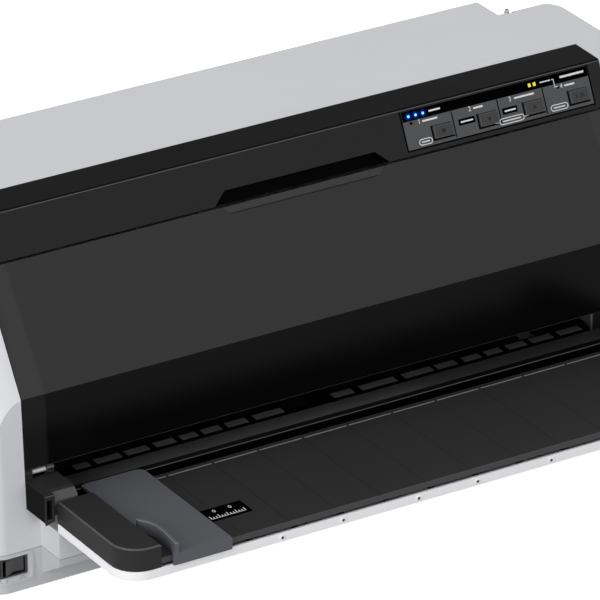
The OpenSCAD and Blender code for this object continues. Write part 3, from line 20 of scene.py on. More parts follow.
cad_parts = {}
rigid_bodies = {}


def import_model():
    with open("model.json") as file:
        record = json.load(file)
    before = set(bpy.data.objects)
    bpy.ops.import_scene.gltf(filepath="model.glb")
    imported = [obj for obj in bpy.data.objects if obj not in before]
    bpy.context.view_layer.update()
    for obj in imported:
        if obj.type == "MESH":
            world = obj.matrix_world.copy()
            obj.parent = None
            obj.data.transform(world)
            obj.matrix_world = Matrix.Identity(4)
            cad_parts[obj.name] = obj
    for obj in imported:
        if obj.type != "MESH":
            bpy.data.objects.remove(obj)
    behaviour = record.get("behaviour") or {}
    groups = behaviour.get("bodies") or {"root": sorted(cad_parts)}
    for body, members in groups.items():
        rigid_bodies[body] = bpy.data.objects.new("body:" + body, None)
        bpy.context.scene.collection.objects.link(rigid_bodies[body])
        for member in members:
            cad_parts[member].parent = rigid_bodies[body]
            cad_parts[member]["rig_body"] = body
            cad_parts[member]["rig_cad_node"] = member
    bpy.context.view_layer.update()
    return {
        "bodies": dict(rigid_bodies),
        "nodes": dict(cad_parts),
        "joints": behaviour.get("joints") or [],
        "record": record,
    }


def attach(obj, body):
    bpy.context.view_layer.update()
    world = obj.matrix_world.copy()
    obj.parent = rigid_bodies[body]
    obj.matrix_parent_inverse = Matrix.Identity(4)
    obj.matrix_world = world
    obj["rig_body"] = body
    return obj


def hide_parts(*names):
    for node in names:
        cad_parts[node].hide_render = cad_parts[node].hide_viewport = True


log = logging.getLogger("printer")

MM = 0.001
MID_Y = 87.7
DUST_COLOUR = (0.35, 0.34, 0.32)

# What picks an edge that runs along an axis, an edge that is level and a face that looks along an
# axis, as shares of a unit direction, and how near a plane a picked one lies, in millimetres.
ALONG = 0.99
LEVEL = 0.1
FACING = 0.9
NEAR = 0.1

Colour = tuple[float, float, float]
Point = tuple[float, float, float]
Pair = tuple[float, float]
Span = tuple[float, float]
Test = Callable[[Vector, Vector], bool]
Shaping = Callable[[bpy.types.Object], None]


def place(x: float, y: float, z: float) -> Vector:
    """Turns a point in the source's millimetres into the row frame.

    Args:
        x: Millimetres to the printer's right.
        y: Millimetres behind the front foot of the base.
        z: Millimetres above the surface that it stands on.

    Returns:
        The point in metres.
    """
    return Vector((x, y - MID_Y, z)) * MM


def within(value: float, span: Span) -> bool:
    """Tells whether a value lies inside a span."""
    return span[0] < value < span[1]


class Effect(Enum):
    """Shader node groups that several finishes share."""

    GRAIN = "moulded_grain"
    HANDLING = "handling_marks"
    DUST = "settled_dust"
    BRUSHED = "brushed_lines"


class EffectLibrary:
    """Builds each shared shader group once and hands it out."""

    def __init__(self) -> None:
        """Starts with no group built."""
        self._built: dict[Effect, bpy.types.NodeTree] = {}

    def get(self, effect: Effect) -> bpy.types.NodeTree:
        """Gives the group of an effect.

        Args:
            effect: Which effect.

        Returns:
            The node group, built at its first use.
        """
        if effect not in self._built:
            maker = {
                Effect.GRAIN: self._grain,
                Effect.HANDLING: self._handling,
                Effect.DUST: self._dust,
                Effect.BRUSHED: self._brushed,
            }[effect]
            self._built[effect] = maker(effect.value)
        return self._built[effect]

    @staticmethod
    def _empty(
        name: str, inputs: Sequence[tuple[str, float]], outputs: Sequence[str]
    ) -> tuple[bpy.types.NodeTree, bpy.types.Node, bpy.types.Node]:
        """Makes a group with number sockets.

        Args:
            name: The group's name.
            inputs: Name and default of each input.
            outputs: Names of the outputs.

        Returns:
            The group, its input node and its output node.
        """
        tree = bpy.data.node_groups.new(name, "ShaderNodeTree")
        for label, value in inputs:
            socket = tree.interface.new_socket(
                name=label, in_out="INPUT", socket_type="NodeSocketFloat"
            )
            socket.default_value = value
        for label in outputs:
            tree.interface.new_socket(name=label, in_out="OUTPUT", socket_type="NodeSocketFloat")
        return tree, tree.nodes.new("NodeGroupInput"), tree.nodes.new("NodeGroupOutput")

    def _grain(self, name: str) -> bpy.types.NodeTree:
        """Fine moulded grain: a height, and a tone that follows it.

        Args:
            name: The group's name.

        Returns:
            The group.
        """
        tree, inward, outward = self._empty(
            name, [("Scale", 2500.0), ("Softness", 0.5)], ["Height", "Tone"]
        )
        nodes, links = tree.nodes, tree.links
        coords = nodes.new("ShaderNodeTexCoord")
        noise = nodes.new("ShaderNodeTexNoise")
        noise.inputs["Detail"].default_value = 3.0
        pits = nodes.new("ShaderNodeTexVoronoi")
        mix = nodes.new("ShaderNodeMath")
        mix.operation = "MULTIPLY_ADD"
        tone = nodes.new("ShaderNodeMapRange")
        tone.inputs["From Min"].default_value = 0.35
        tone.inputs["From Max"].default_value = 0.65
        links.new(coords.outputs["Object"], noise.inputs["Vector"])
        links.new(coords.outputs["Object"], pits.inputs["Vector"])
        links.new(inward.outputs["Scale"], noise.inputs["Scale"])
        links.new(inward.outputs["Scale"], pits.inputs["Scale"])
        links.new(inward.outputs["Softness"], noise.inputs["Roughness"])
        links.new(pits.outputs["Distance"], mix.inputs[0])
        mix.inputs[1].default_value = 0.5
        links.new(noise.outputs["Fac"], mix.inputs[2])
        links.new(mix.outputs[0], outward.inputs["Height"])
        links.new(noise.outputs["Fac"], tone.inputs["Value"])
        links.new(tone.outputs["Result"], outward.inputs["Tone"])
        return tree

    def _handling(self, name: str) -> bpy.types.NodeTree:
        """Broad, faint marks left by hands and wiping.

        Args:
            name: The group's name.

        Returns:
            The group.
        """
        tree, inward, outward = self._empty(name, [("Scale", 9.0)], ["Mask"])
        nodes, links = tree.nodes, tree.links
        coords = nodes.new("ShaderNodeTexCoord")
        noise = nodes.new("ShaderNodeTexNoise")
        noise.inputs["Detail"].default_value = 5.0
        noise.inputs["Distortion"].default_value = 0.6
        spread = nodes.new("ShaderNodeMapRange")
        spread.inputs["From Min"].default_value = 0.38
        spread.inputs["From Max"].default_value = 0.7
        links.new(coords.outputs["Object"], noise.inputs["Vector"])
        links.new(inward.outputs["Scale"], noise.inputs["Scale"])
        links.new(noise.outputs["Fac"], spread.inputs["Value"])
        links.new(spread.outputs["Result"], outward.inputs["Mask"])
        return tree

    def _dust(self, name: str) -> bpy.types.NodeTree:
        """Thin dust on faces that look up.

        Args:
            name: The group's name.

        Returns:
            The group.
        """
        tree, inward, outward = self._empty(name, [("Amount", 0.2)], ["Mask"])
        nodes, links = tree.nodes, tree.links
        geometry = nodes.new("ShaderNodeNewGeometry")
        split = nodes.new("ShaderNodeSeparateXYZ")
        upward = nodes.new("ShaderNodeMapRange")
        upward.inputs["From Min"].default_value = 0.4
        upward.inputs["From Max"].default_value = 1.0
        coords = nodes.new("ShaderNodeTexCoord")
        noise = nodes.new("ShaderNodeTexNoise")
        noise.inputs["Scale"].default_value = 60.0
        noise.inputs["Detail"].default_value = 6.0
        patchy = nodes.new("ShaderNodeMath")
        patchy.operation = "MULTIPLY"
        scaled = nodes.new("ShaderNodeMath")
        scaled.operation = "MULTIPLY"
        links.new(geometry.outputs["Normal"], split.inputs["Vector"])
        links.new(split.outputs["Z"], upward.inputs["Value"])
        links.new(coords.outputs["Object"], noise.inputs["Vector"])
        links.new(upward.outputs["Result"], patchy.inputs[0])
        links.new(noise.outputs["Fac"], patchy.inputs[1])
        links.new(patchy.outputs[0], scaled.inputs[0])
        links.new(inward.outputs["Amount"], scaled.inputs[1])
        links.new(scaled.outputs[0], outward.inputs["Mask"])
        return tree

    def _brushed(self, name: str) -> bpy.types.NodeTree:
        """Fine lines along X, as rolled or ground metal has.

        Args:
            name: The group's name.

        Returns:
            The group.
        """
        tree, inward, outward = self._empty(name, [("Scale", 900.0)], ["Height", "Tone"])
        nodes, links = tree.nodes, tree.links
        coords = nodes.new("ShaderNodeTexCoord")
        stretch = nodes.new("ShaderNodeMapping")
        stretch.inputs["Scale"].default_value = (0.03, 1.0, 1.0)
        noise = nodes.new("ShaderNodeTexNoise")
        noise.inputs["Detail"].default_value = 2.0
        links.new(coords.outputs["Object"], stretch.inputs["Vector"])
        links.new(stretch.outputs["Vector"], noise.inputs["Vector"])
        links.new(inward.outputs["Scale"], noise.inputs["Scale"])
        links.new(noise.outputs["Fac"], outward.inputs["Height"])
        links.new(noise.outputs["Fac"], outward.inputs["Tone"])
        return tree


EFFECTS = EffectLibrary()


@dataclass(frozen=True)
class Finish:
    """A procedural finish of one kind of surface."""

    name: str
    colour: Colour
    roughness: float = 0.5
    metallic: float = 0.0
    specular: float = 0.5
    grain: float = 2600.0
    depth: float = 0.02
    tone: float = 0.06
    marks: float = 0.06
    dust: float = 0.0
    coat: float = 0.0
    glow: float = 0.0
    brushed: bool = False

    def material(self) -> bpy.types.Material:
        """Gives the finish's material, built at its first use.

        Returns:
            The material.
        """
        found = bpy.data.materials.get(self.name)
        if found is not None:
            return found
        made = bpy.data.materials.new(self.name)
        made.use_nodes = True
        tree = made.node_tree
        shader = tree.nodes["Principled BSDF"]
        shader.inputs["Metallic"].default_value = self.metallic
        shader.inputs["Specular IOR Level"].default_value = self.specular
        shader.inputs["Coat Weight"].default_value = self.coat
        shader.inputs["Coat Roughness"].default_value = 0.08
        if self.glow > 0:
            shader.inputs["Emission Color"].default_value = (*self.colour, 1.0)
            shader.inputs["Emission Strength"].default_value = self.glow
        self._surface(tree, shader)
        return made

    def _surface(self, tree: bpy.types.NodeTree, shader: bpy.types.Node) -> None:
        """Feeds colour, roughness and normal.

        Args:
            tree: The material's node tree.
            shader: Its Principled shader.
        """
        nodes, links = tree.nodes, tree.links
        texture = nodes.new("ShaderNodeGroup")
        texture.node_tree = EFFECTS.get(Effect.BRUSHED if self.brushed else Effect.GRAIN)
        texture.inputs["Scale"].default_value = self.grain
        marks = nodes.new("ShaderNodeGroup")
        marks.node_tree = EFFECTS.get(Effect.HANDLING)
        toned = nodes.new("ShaderNodeMix")
        toned.data_type = "RGBA"
        toned.inputs["A"].default_value = (*self.colour, 1.0)
        deeper = tuple(c * (1.0 - self.tone) for c in self.colour)
        toned.inputs["B"].default_value = (*deeper, 1.0)
        links.new(texture.outputs["Tone"], toned.inputs["Factor"])
        last = toned.outputs["Result"]
        if self.dust > 0:
            dust = nodes.new("ShaderNodeGroup")
            dust.node_tree = EFFECTS.get(Effect.DUST)
            dust.inputs["Amount"].default_value = self.dust
            dusted = nodes.new("ShaderNodeMix")
            dusted.data_type = "RGBA"
            dusted.inputs["B"].default_value = (*DUST_COLOUR, 1.0)
            links.new(dust.outputs["Mask"], dusted.inputs["Factor"])
            links.new(last, dusted.inputs["A"])
            last = dusted.outputs["Result"]
        links.new(last, shader.inputs["Base Color"])
        rough = nodes.new("ShaderNodeMapRange")
        rough.inputs["To Min"].default_value = max(0.02, self.roughness - self.marks)
        rough.inputs["To Max"].default_value = min(1.0, self.roughness + self.marks)
        links.new(marks.outputs["Mask"], rough.inputs["Value"])
        links.new(rough.outputs["Result"], shader.inputs["Roughness"])
        bump = nodes.new("ShaderNodeBump")
        bump.inputs["Strength"].default_value = min(1.0, self.depth * 10)
        bump.inputs["Distance"].default_value = self.depth * MM
        links.new(texture.outputs["Height"], bump.inputs["Height"])
        links.new(bump.outputs["Normal"], shader.inputs["Normal"])


@dataclass(frozen=True)
class WindowFinish(Finish):
    """Smoked plastic that is a shade lighter in a frosted border outside the middle of its width.
    """

    half_window: float = 200.0
    fade: float = 0.8
    border: Colour = (0.012, 0.012, 0.012)

    def _surface(self, tree: bpy.types.NodeTree, shader: bpy.types.Node) -> None:
        """Adds the border's tone to the plain surface.

        Args:
            tree: The material's node tree.
            shader: Its Principled shader.
        """
        super()._surface(tree, shader)
        nodes, links = tree.nodes, tree.links
        plain = shader.inputs["Base Color"].links[0].from_socket
        coords = nodes.new("ShaderNodeTexCoord")
        split = nodes.new("ShaderNodeSeparateXYZ")
        side = nodes.new("ShaderNodeMath")
        side.operation = "ABSOLUTE"
        edge = nodes.new("ShaderNodeMapRange")
        edge.inputs["From Min"].default_value = (self.half_window - self.fade) * MM
        edge.inputs["From Max"].default_value = (self.half_window + self.fade) * MM
        mixed = nodes.new("ShaderNodeMix")
        mixed.data_type = "RGBA"
        mixed.inputs["B"].default_value = (*self.border, 1.0)
        links.new(coords.outputs["Object"], split.inputs["Vector"])
        links.new(split.outputs["X"], side.inputs[0])
        links.new(side.outputs[0], edge.inputs["Value"])
        links.new(edge.outputs["Result"], mixed.inputs["Factor"])
        links.new(plain, mixed.inputs["A"])
        links.new(mixed.outputs["Result"], shader.inputs["Base Color"])


WHITE_CASE = Finish(
    "white_case_plastic",
    (0.66, 0.665, 0.69),
    roughness=0.42,
    specular=0.3,
    depth=0.012,
    tone=0.02,
    dust=0.02,
)
# Painted shade: a darker copy of the case white for the base.
BASE_WHITE_SHADE = Finish(
    "base_plastic",
    (0.55, 0.555, 0.575),
    roughness=0.45,
    specular=0.3,
    depth=0.012,
    tone=0.02,
    dust=0.02,
)
# Painted light: a lighter copy of the case white for the tray and its bosses.
TRAY_WHITE_LIT = Finish(
    "tray_plastic", (0.93, 0.93, 0.95), roughness=0.4, depth=0.01, tone=0.02, dust=0.02
)
FOOT_RUBBER = Finish("foot_rubber", (0.02, 0.02, 0.02), roughness=0.85, depth=0.06, grain=1500)
STRIP_BLACK = Finish(
    "strip_plastic", (0.007, 0.007, 0.0075), roughness=0.33, specular=0.2, depth=0.008
)
# Painted shade: a darker, duller copy of the strip's black for its top faces.
STRIP_TOP_SHADE = Finish(
    "strip_top_plastic", (0.006, 0.006, 0.0062), roughness=0.5, specular=0.02, depth=0.008
)
# Painted highlight: a light line on the rounding along the strip's top front edge.
STRIP_HIGHLIGHT = Finish("strip_edge_plastic", (0.055, 0.055, 0.057), roughness=0.3, depth=0.003)
# Painted shade: near black on the faces sunk behind the strip's face.
RECESS_SHADE = Finish(
    "recess_plastic", (0.0012, 0.0012, 0.0012), roughness=0.7, specular=0.02, depth=0.004
)
PANEL_GREY = Finish(
    "panel_inlay", (0.08, 0.083, 0.087), roughness=0.5, specular=0.2, depth=0.01, grain=3200
)
PANEL_BLACK = Finish(
    "panel_band", (0.0012, 0.0012, 0.0015), roughness=0.4, specular=0.0, depth=0.004
)
BUTTON_GREY = Finish(
    "button_plastic", (0.036, 0.036, 0.038), roughness=0.45, specular=0.3, depth=0.01
)
# Painted highlight on the softened edges of the button caps.
BUTTON_HIGHLIGHT = Finish("button_edge_plastic", (0.062, 0.062, 0.065), roughness=0.35, depth=0.004)
LAMP_BLUE = Finish("lamp_window", (0.006, 0.09, 0.85), roughness=0.2, glow=0.9, depth=0.001)
LAMP_CORE = Finish("lamp_core", (0.16, 0.6, 1.0), roughness=0.3, glow=1.1, depth=0.001)
# Painted glow: a faint blue pool of light laid on the panel round each lamp.
LAMP_HALO = Finish(
    "lamp_halo", (0.0, 0.012, 0.09), roughness=0.4, specular=0.0, glow=0.5, depth=0.001
)
# The yellow print glows a little: painted light.
LAMP_YELLOW = Finish("lamp_print", (0.85, 0.72, 0.05), roughness=0.5, glow=0.2, depth=0.001)
PRINT_WHITE = Finish("printed_white", (0.75, 0.75, 0.76), roughness=0.5, depth=0.002)
# Grey stands in for the shading of the raised I and O: painted shade.
SIGN_SHADE = Finish("raised_sign", (0.33, 0.33, 0.345), roughness=0.5, depth=0.002)
SIGN_DARK = Finish("sunk_sign", (0.022, 0.022, 0.024), roughness=0.6, specular=0.1, depth=0.002)
SWITCH_BLACK = Finish("switch_plastic", (0.006, 0.006, 0.006), roughness=0.25, depth=0.004)
COVER_SMOKE = WindowFinish(
    "smoked_plastic",
    (0.024, 0.024, 0.024),
    roughness=0.2,
    specular=0.2,
    depth=0.002,
    marks=0.03,
    border=(0.031, 0.031, 0.031),
)
# Painted shade: near black on the cover's front-facing low face for the dark reflection it shows,
# and on the thin line under the pull.
COVER_LOW_SHADE = WindowFinish(
    "smoked_window",
    (0.0022, 0.0022, 0.0022),
    roughness=0.2,
    specular=0.06,
    depth=0.001,
    marks=0.03,
    border=(0.01, 0.01, 0.01),
)
# Painted shade: a darker, duller copy of the table black on the hinge blocks' outer sides.
BLOCK_SIDE_SHADE = Finish("block_side", (0.013, 0.013, 0.013), roughness=0.6, specular=0.0, depth=0.01)
PIN_STEEL = Finish(
    "pin_steel", (0.66, 0.67, 0.68), roughness=0.5, metallic=0.35, specular=0.3, depth=0.004
)
CAP_GREY = Finish("lever_cap_plastic", (0.06, 0.06, 0.062), roughness=0.45, depth=0.004)
# Painted light: a lighter copy of the smoked plastic on the pull's chamfered faces.
PULL_LIT = Finish("pull_lip", (0.035, 0.035, 0.036), roughness=0.35, specular=0.2, depth=0.002)
# Painted highlight: a light line along the cover's rounded low edge.
COVER_HIGHLIGHT = Finish("cover_edge", (0.06, 0.06, 0.061), roughness=0.3, depth=0.002)
TABLE_BLACK = Finish(
    "table_plastic",
    (0.023, 0.023, 0.0235),
    roughness=0.5,
    specular=0.12,
    depth=0.03,
    grain=2200,
    tone=0.15,
)
# Painted highlight on the table's rounded and softened edges.
TABLE_HIGHLIGHT = Finish("table_edge_plastic", (0.05, 0.05, 0.052), roughness=0.4, depth=0.01)
# Painted highlight: the grey of the rib along the deck's rear edge.
RIB_HIGHLIGHT = Finish("rib_plastic", (0.19, 0.19, 0.195), roughness=0.4, depth=0.004)
# Painted light: a lighter copy of the table black on the deck's front between the arms.
TABLE_FRONT_LIT = Finish("bar_plastic", (0.05, 0.05, 0.052), roughness=0.45, specular=0.2, depth=0.02)
GUIDE_GREY = Finish(
    "guide_plastic",
    (0.102, 0.104, 0.118),
    roughness=0.45,
    specular=0.2,
    depth=0.02,
    grain=2400,
    tone=0.08,
)
# Painted highlight on the guide's softened and rounded edges.
GUIDE_HIGHLIGHT = Finish("guide_edge_plastic", (0.17, 0.172, 0.19), roughness=0.4, depth=0.01)
LIP_GREY = Finish(
    "lip_plastic", (0.036, 0.036, 0.0375), roughness=0.4, specular=0.25, depth=0.015
)
# Painted shade: near black on a band across the lip's top.
LIP_SHADE = Finish(
    "lip_front_plastic", (0.0035, 0.0035, 0.0035), roughness=0.6, specular=0.02, depth=0.006
)
# Painted highlight on the lip's softened edges.
LIP_HIGHLIGHT = Finish("lip_edge_plastic", (0.045, 0.045, 0.046), roughness=0.35, depth=0.006)
COMB_GREY = Finish("comb_plastic", (0.085, 0.085, 0.088), roughness=0.5, specular=0.2, depth=0.02)
# Painted shade: near black at the feet of the lip and fingers and on the lip's low faces.
SLOT_SHADE = Finish("comb_base_plastic", (0.0012, 0.0012, 0.0012), roughness=0.6, specular=0.0)
BED_BLACK = Finish("bed_plastic", (0.002, 0.002, 0.002), roughness=0.6, specular=0.02, depth=0.02)
ZINC = Finish(
    "zinc_steel", (0.5, 0.51, 0.53), roughness=0.34, metallic=1.0, brushed=True, depth=0.01
)
GROUND_STEEL = Finish(
    "ground_steel", (0.62, 0.63, 0.65), roughness=0.18, metallic=1.0, brushed=True, depth=0.004
)
ROLLER_RUBBER = Finish(
    "roller_rubber", (0.003, 0.003, 0.003), roughness=0.8, specular=0.02, depth=0.03
)
GEAR_WHITE = Finish("gear_plastic", (0.72, 0.7, 0.62), roughness=0.4, depth=0.008)
BRASS = Finish(
    "turned_brass", (0.62, 0.44, 0.16), roughness=0.28, metallic=1.0, brushed=True, depth=0.006
)
MOTOR_PAINT = Finish("motor_paint", (0.02, 0.02, 0.022), roughness=0.4, depth=0.02, marks=0.1)
MECHANISM_BLACK = Finish("mechanism_plastic", (0.014, 0.014, 0.015), roughness=0.55, depth=0.03)
HEAD_CAST = Finish("cast_head", (0.2, 0.21, 0.22), roughness=0.5, metallic=0.8, depth=0.05)
BELT_RUBBER = Finish("belt_rubber", (0.01, 0.01, 0.01), roughness=0.8, depth=0.03)
RIBBON_CLOTH = Finish("ribbon_cloth", (0.004, 0.004, 0.006), roughness=0.9, depth=0.05, grain=4000)
LEVER_BLUE = Finish("lever_plastic", (0.02, 0.09, 0.25), roughness=0.4, depth=0.01)
BOARD_GREEN = Finish("board_laminate", (0.01, 0.09, 0.03), roughness=0.35, depth=0.008, coat=0.3)
# Painted shade: black discs that stand for the dark in the tray bosses' holes.
HOLE_SHADE = Finish("chip_resin", (0.008, 0.008, 0.009), roughness=0.5, depth=0.02)
PORT_METAL = Finish(
    "plated_shell", (0.5, 0.5, 0.49), roughness=0.3, metallic=1.0, brushed=True, depth=0.006
)


def dress(piece: bpy.types.Object, finish: Finish) -> None:
    """Gives a piece one finish all over.

    Args:
        piece: A mesh object.
        finish: Its finish.
    """
    piece.data.materials.clear()
    piece.data.materials.append(finish.material())


class Element(Enum):
    """What can be picked in a mesh, in the editor's own words."""

    FACE = "FACE"
    EDGE = "EDGE"


class Bench:
    """Makes and shapes meshes with the editing operators, as by hand."""

    merge_distance = 2e-6
    flat_angle = 0.6
    sharp_angle = 28.0
    smooth_angle = 40.0
    flat_weight = 80
    rim_share = 0.2

    @staticmethod
    def deselect() -> None:
        """Leaves nothing selected, in object mode."""
        if bpy.context.object is not None and bpy.context.object.mode != "OBJECT":
            bpy.ops.object.mode_set(mode="OBJECT")
        bpy.ops.object.select_all(action="DESELECT")

    @classmethod
    def take(cls, piece: bpy.types.Object) -> None:
        """Selects one piece and makes it the active one.

        Args:
            piece: The piece.
        """
        cls.deselect()
        piece.select_set(True)
        bpy.context.view_layer.objects.active = piece

    @classmethod
    def close(cls) -> None:
        """Leaves edit mode."""
        bpy.ops.object.mode_set(mode="OBJECT")

    @classmethod
    def pick(cls, piece: bpy.types.Object, kind: Element, test: Test) -> int:
        """Selects faces or edges by place and direction, and leaves the piece in edit mode.

        Args:
            piece: The piece.
            kind: Whether faces or edges are picked.
            test: Gets the middle in millimetres of its own space, and the normal or direction.

        Returns:
            How many were selected.
        """
        cls.take(piece)
        bpy.ops.object.mode_set(mode="EDIT")
        bpy.ops.mesh.select_mode(type=kind.value)
        bpy.ops.mesh.select_all(action="DESELECT")
        bpy.ops.object.mode_set(mode="OBJECT")
        mesh, count = piece.data, 0
        if kind is Element.FACE:
            for polygon in mesh.polygons:
                polygon.select = test(polygon.center / MM, polygon.normal)
                count += polygon.select
        else:
            for edge in mesh.edges:
                a, b = (mesh.vertices[i].co for i in edge.vertices)
                edge.select = test((a + b) / 2 / MM, (b - a).normalized())
                count += edge.select
        bpy.ops.object.mode_set(mode="EDIT")
        return count

    @classmethod
    def block(cls, name: str, low: Point, high: Point, soft: float = 0.3) -> bpy.types.Object:
        """Adds a box at its size and place, in its own millimetres, with softened edges.

        Args:
            name: The piece's name.
            low: Lowest corner.
            high: Highest corner.
            soft: Width of the bevel on all its edges.

        Returns:
            The piece, its place in its mesh.
        """
        cls.deselect()
        middle = (Vector(low) + Vector(high)) / 2 * MM
        bpy.ops.mesh.primitive_cube_add(size=1, location=middle)
        piece = bpy.context.object
        piece.name = name
        piece.scale = (Vector(high) - Vector(low)) * MM
        bpy.ops.object.transform_apply(location=True, rotation=True, scale=True)
        if soft > 0:
            bpy.ops.object.mode_set(mode="EDIT")
            bpy.ops.mesh.select_all(action="SELECT")
            bpy.ops.mesh.bevel(offset=soft * MM, segments=2, affect="EDGES")
            cls.close()
        return piece

    @classmethod
    def disc(
        cls, name: str, centre: Point, radius: float, height: float, sides: int = 32
    ) -> bpy.types.Object:
        """Adds an upright cylinder that stands on a point, with a softened rim.

        Args:
            name: The piece's name.
            centre: Middle of its foot.
            radius: Its radius.
            height: Its height.
            sides: Count of its sides.

        Returns:
            The piece, its place in its mesh.
        """
        cls.deselect()
        bpy.ops.mesh.primitive_cylinder_add(
            vertices=sides,
            radius=radius * MM,
            depth=height * MM,
            location=(Vector(centre) + Vector((0, 0, height / 2))) * MM,
        )
        piece = bpy.context.object
        piece.name = name
        bpy.ops.object.transform_apply(location=True, rotation=True, scale=True)
        cls.pick(piece, Element.EDGE, lambda middle, way: abs(way.z) < LEVEL)
        bpy.ops.mesh.bevel(
            offset=cls.rim_share * min(height, radius) * MM, segments=2, affect="EDGES"
        )
        cls.close()
        return piece

    @classmethod
    def settle(cls, piece: bpy.types.Object, turn: Matrix) -> None:
        """Moves a piece by a matrix and puts the place in its mesh.

        Args:
            piece: The piece.
            turn: The matrix, in metres.
        """
        cls.take(piece)
        piece.matrix_world = turn @ piece.matrix_world
        bpy.ops.object.transform_apply(location=True, rotation=True, scale=True)

    @classmethod
    def smooth(cls, piece: bpy.types.Object, degrees: float = 32.0) -> None:
        """Shades a piece smoothly where its faces meet at less than an angle."""
        cls.take(piece)
        bpy.ops.object.shade_smooth_by_angle(angle=math.radians(degrees))

    @classmethod
    def join(cls, name: str, parts: Sequence[bpy.types.Object]) -> bpy.types.Object:
        """Joins pieces into one.

        Args:
            name: The joined piece's name.
            parts: The pieces, at least one.

        Returns:
            The joined piece.
        """
        cls.take(parts[0])
        for part in parts:
            part.select_set(True)
        if len(parts) > 1:
            bpy.ops.object.join()
        joined = bpy.context.object
        joined.name = name
        return joined

    @classmethod
    def from_node(
        cls,
        node: bpy.types.Object,
        name: str,
        soft: float,
        coats: Sequence[bpy.types.Material],
        first: Shaping | None = None,
    ) -> bpy.types.Object:
        """Copies a CAD node, merges its loose triangles and softens its sharp edges.

        Args:
            node: The CAD node.
            name: The new piece's name.
            soft: Width of the softening in millimetres.
            coats: Material of the faces and, where there is a second, of the softened edges.
            first: What is done to the copy before all its edges are softened.

        Returns:
            The new piece.
        """
        piece = node.copy()
        piece.data = node.data.copy()
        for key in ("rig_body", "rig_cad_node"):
            if key in piece:
                del piece[key]
        piece.parent = None
        piece.hide_render = False
        piece.hide_viewport = False
        bpy.context.scene.collection.objects.link(piece)
        piece.name = name
        cls.take(piece)
        if piece.data.has_custom_normals:
            bpy.ops.mesh.customdata_custom_splitnormals_clear()
        bpy.ops.object.mode_set(mode="EDIT")
        bpy.ops.mesh.select_all(action="SELECT")
        bpy.ops.mesh.remove_doubles(threshold=cls.merge_distance)
        bpy.ops.mesh.dissolve_limited(angle_limit=math.radians(cls.flat_angle))
        cls.close()
        piece.data.materials.clear()
        for coat in coats:
            piece.data.materials.append(coat)
        for polygon in piece.data.polygons:
            polygon.material_index = 0
        if first is not None:
            first(piece)
            cls.take(piece)
        edges = piece.modifiers.new("softened", "BEVEL")
        edges.material = len(coats) - 1
        edges.width = soft * MM
        edges.segments = 2
        edges.limit_method = "ANGLE"
        edges.angle_limit = math.radians(cls.sharp_angle)
        edges.use_clamp_overlap = True
        edges.miter_outer = "MITER_ARC"
        edges.harden_normals = False
        bpy.ops.object.modifier_apply(modifier=edges.name)
        cls.smooth(piece, cls.smooth_angle)
        flat = piece.modifiers.new("flat_faces", "WEIGHTED_NORMAL")
        flat.keep_sharp = True
        flat.weight = cls.flat_weight
        bpy.ops.object.modifier_apply(modifier=flat.name)
        return piece

    @classmethod
    def round_edges(
        cls,
        piece: bpy.types.Object,
        width: float,
        test: Test,
        segments: int = 4,
    ) -> None:
        """Rounds chosen edges of a piece.

        Args:
            piece: The piece.
            width: Width of the rounding in millimetres.
            test: Gets an edge's middle in the source's millimetres, and its direction.
            segments: How many faces make the rounding.
        """
        shift = Vector((0, MID_Y, 0))
        if cls.pick(piece, Element.EDGE, lambda middle, way: test(middle + shift, way)):
            bpy.ops.mesh.bevel(
                offset=width * MM, segments=segments, affect="EDGES", clamp_overlap=False
            )
        cls.close()

    @classmethod
    def split(cls, piece: bpy.types.Object, spot: Point, way: Point) -> None:
        """Cuts a piece's faces along a plane, so that each side takes its own finish.

        Args:
            piece: The piece.
            spot: A point of the plane, in the source's millimetres.
            way: The plane's normal.
        """
        cls.pick(piece, Element.FACE, lambda middle, normal: True)
        bpy.ops.mesh.bisect(plane_co=place(*spot), plane_no=way)
        cls.close()

    @staticmethod
    def paint(piece: bpy.types.Object, finish: Finish, test: Test) -> None:
        """Gives some faces of a piece another finish.

        Args:
            piece: The piece.
            finish: The finish.
            test: Gets a face's middle in the source's millimetres, and its normal.
        """
        slot = len(piece.data.materials)
        piece.data.materials.append(finish.material())
        shift = Vector((0, MID_Y, 0))
        for polygon in piece.data.polygons:
            if test(polygon.center / MM + shift, polygon.normal):
                polygon.material_index = slot


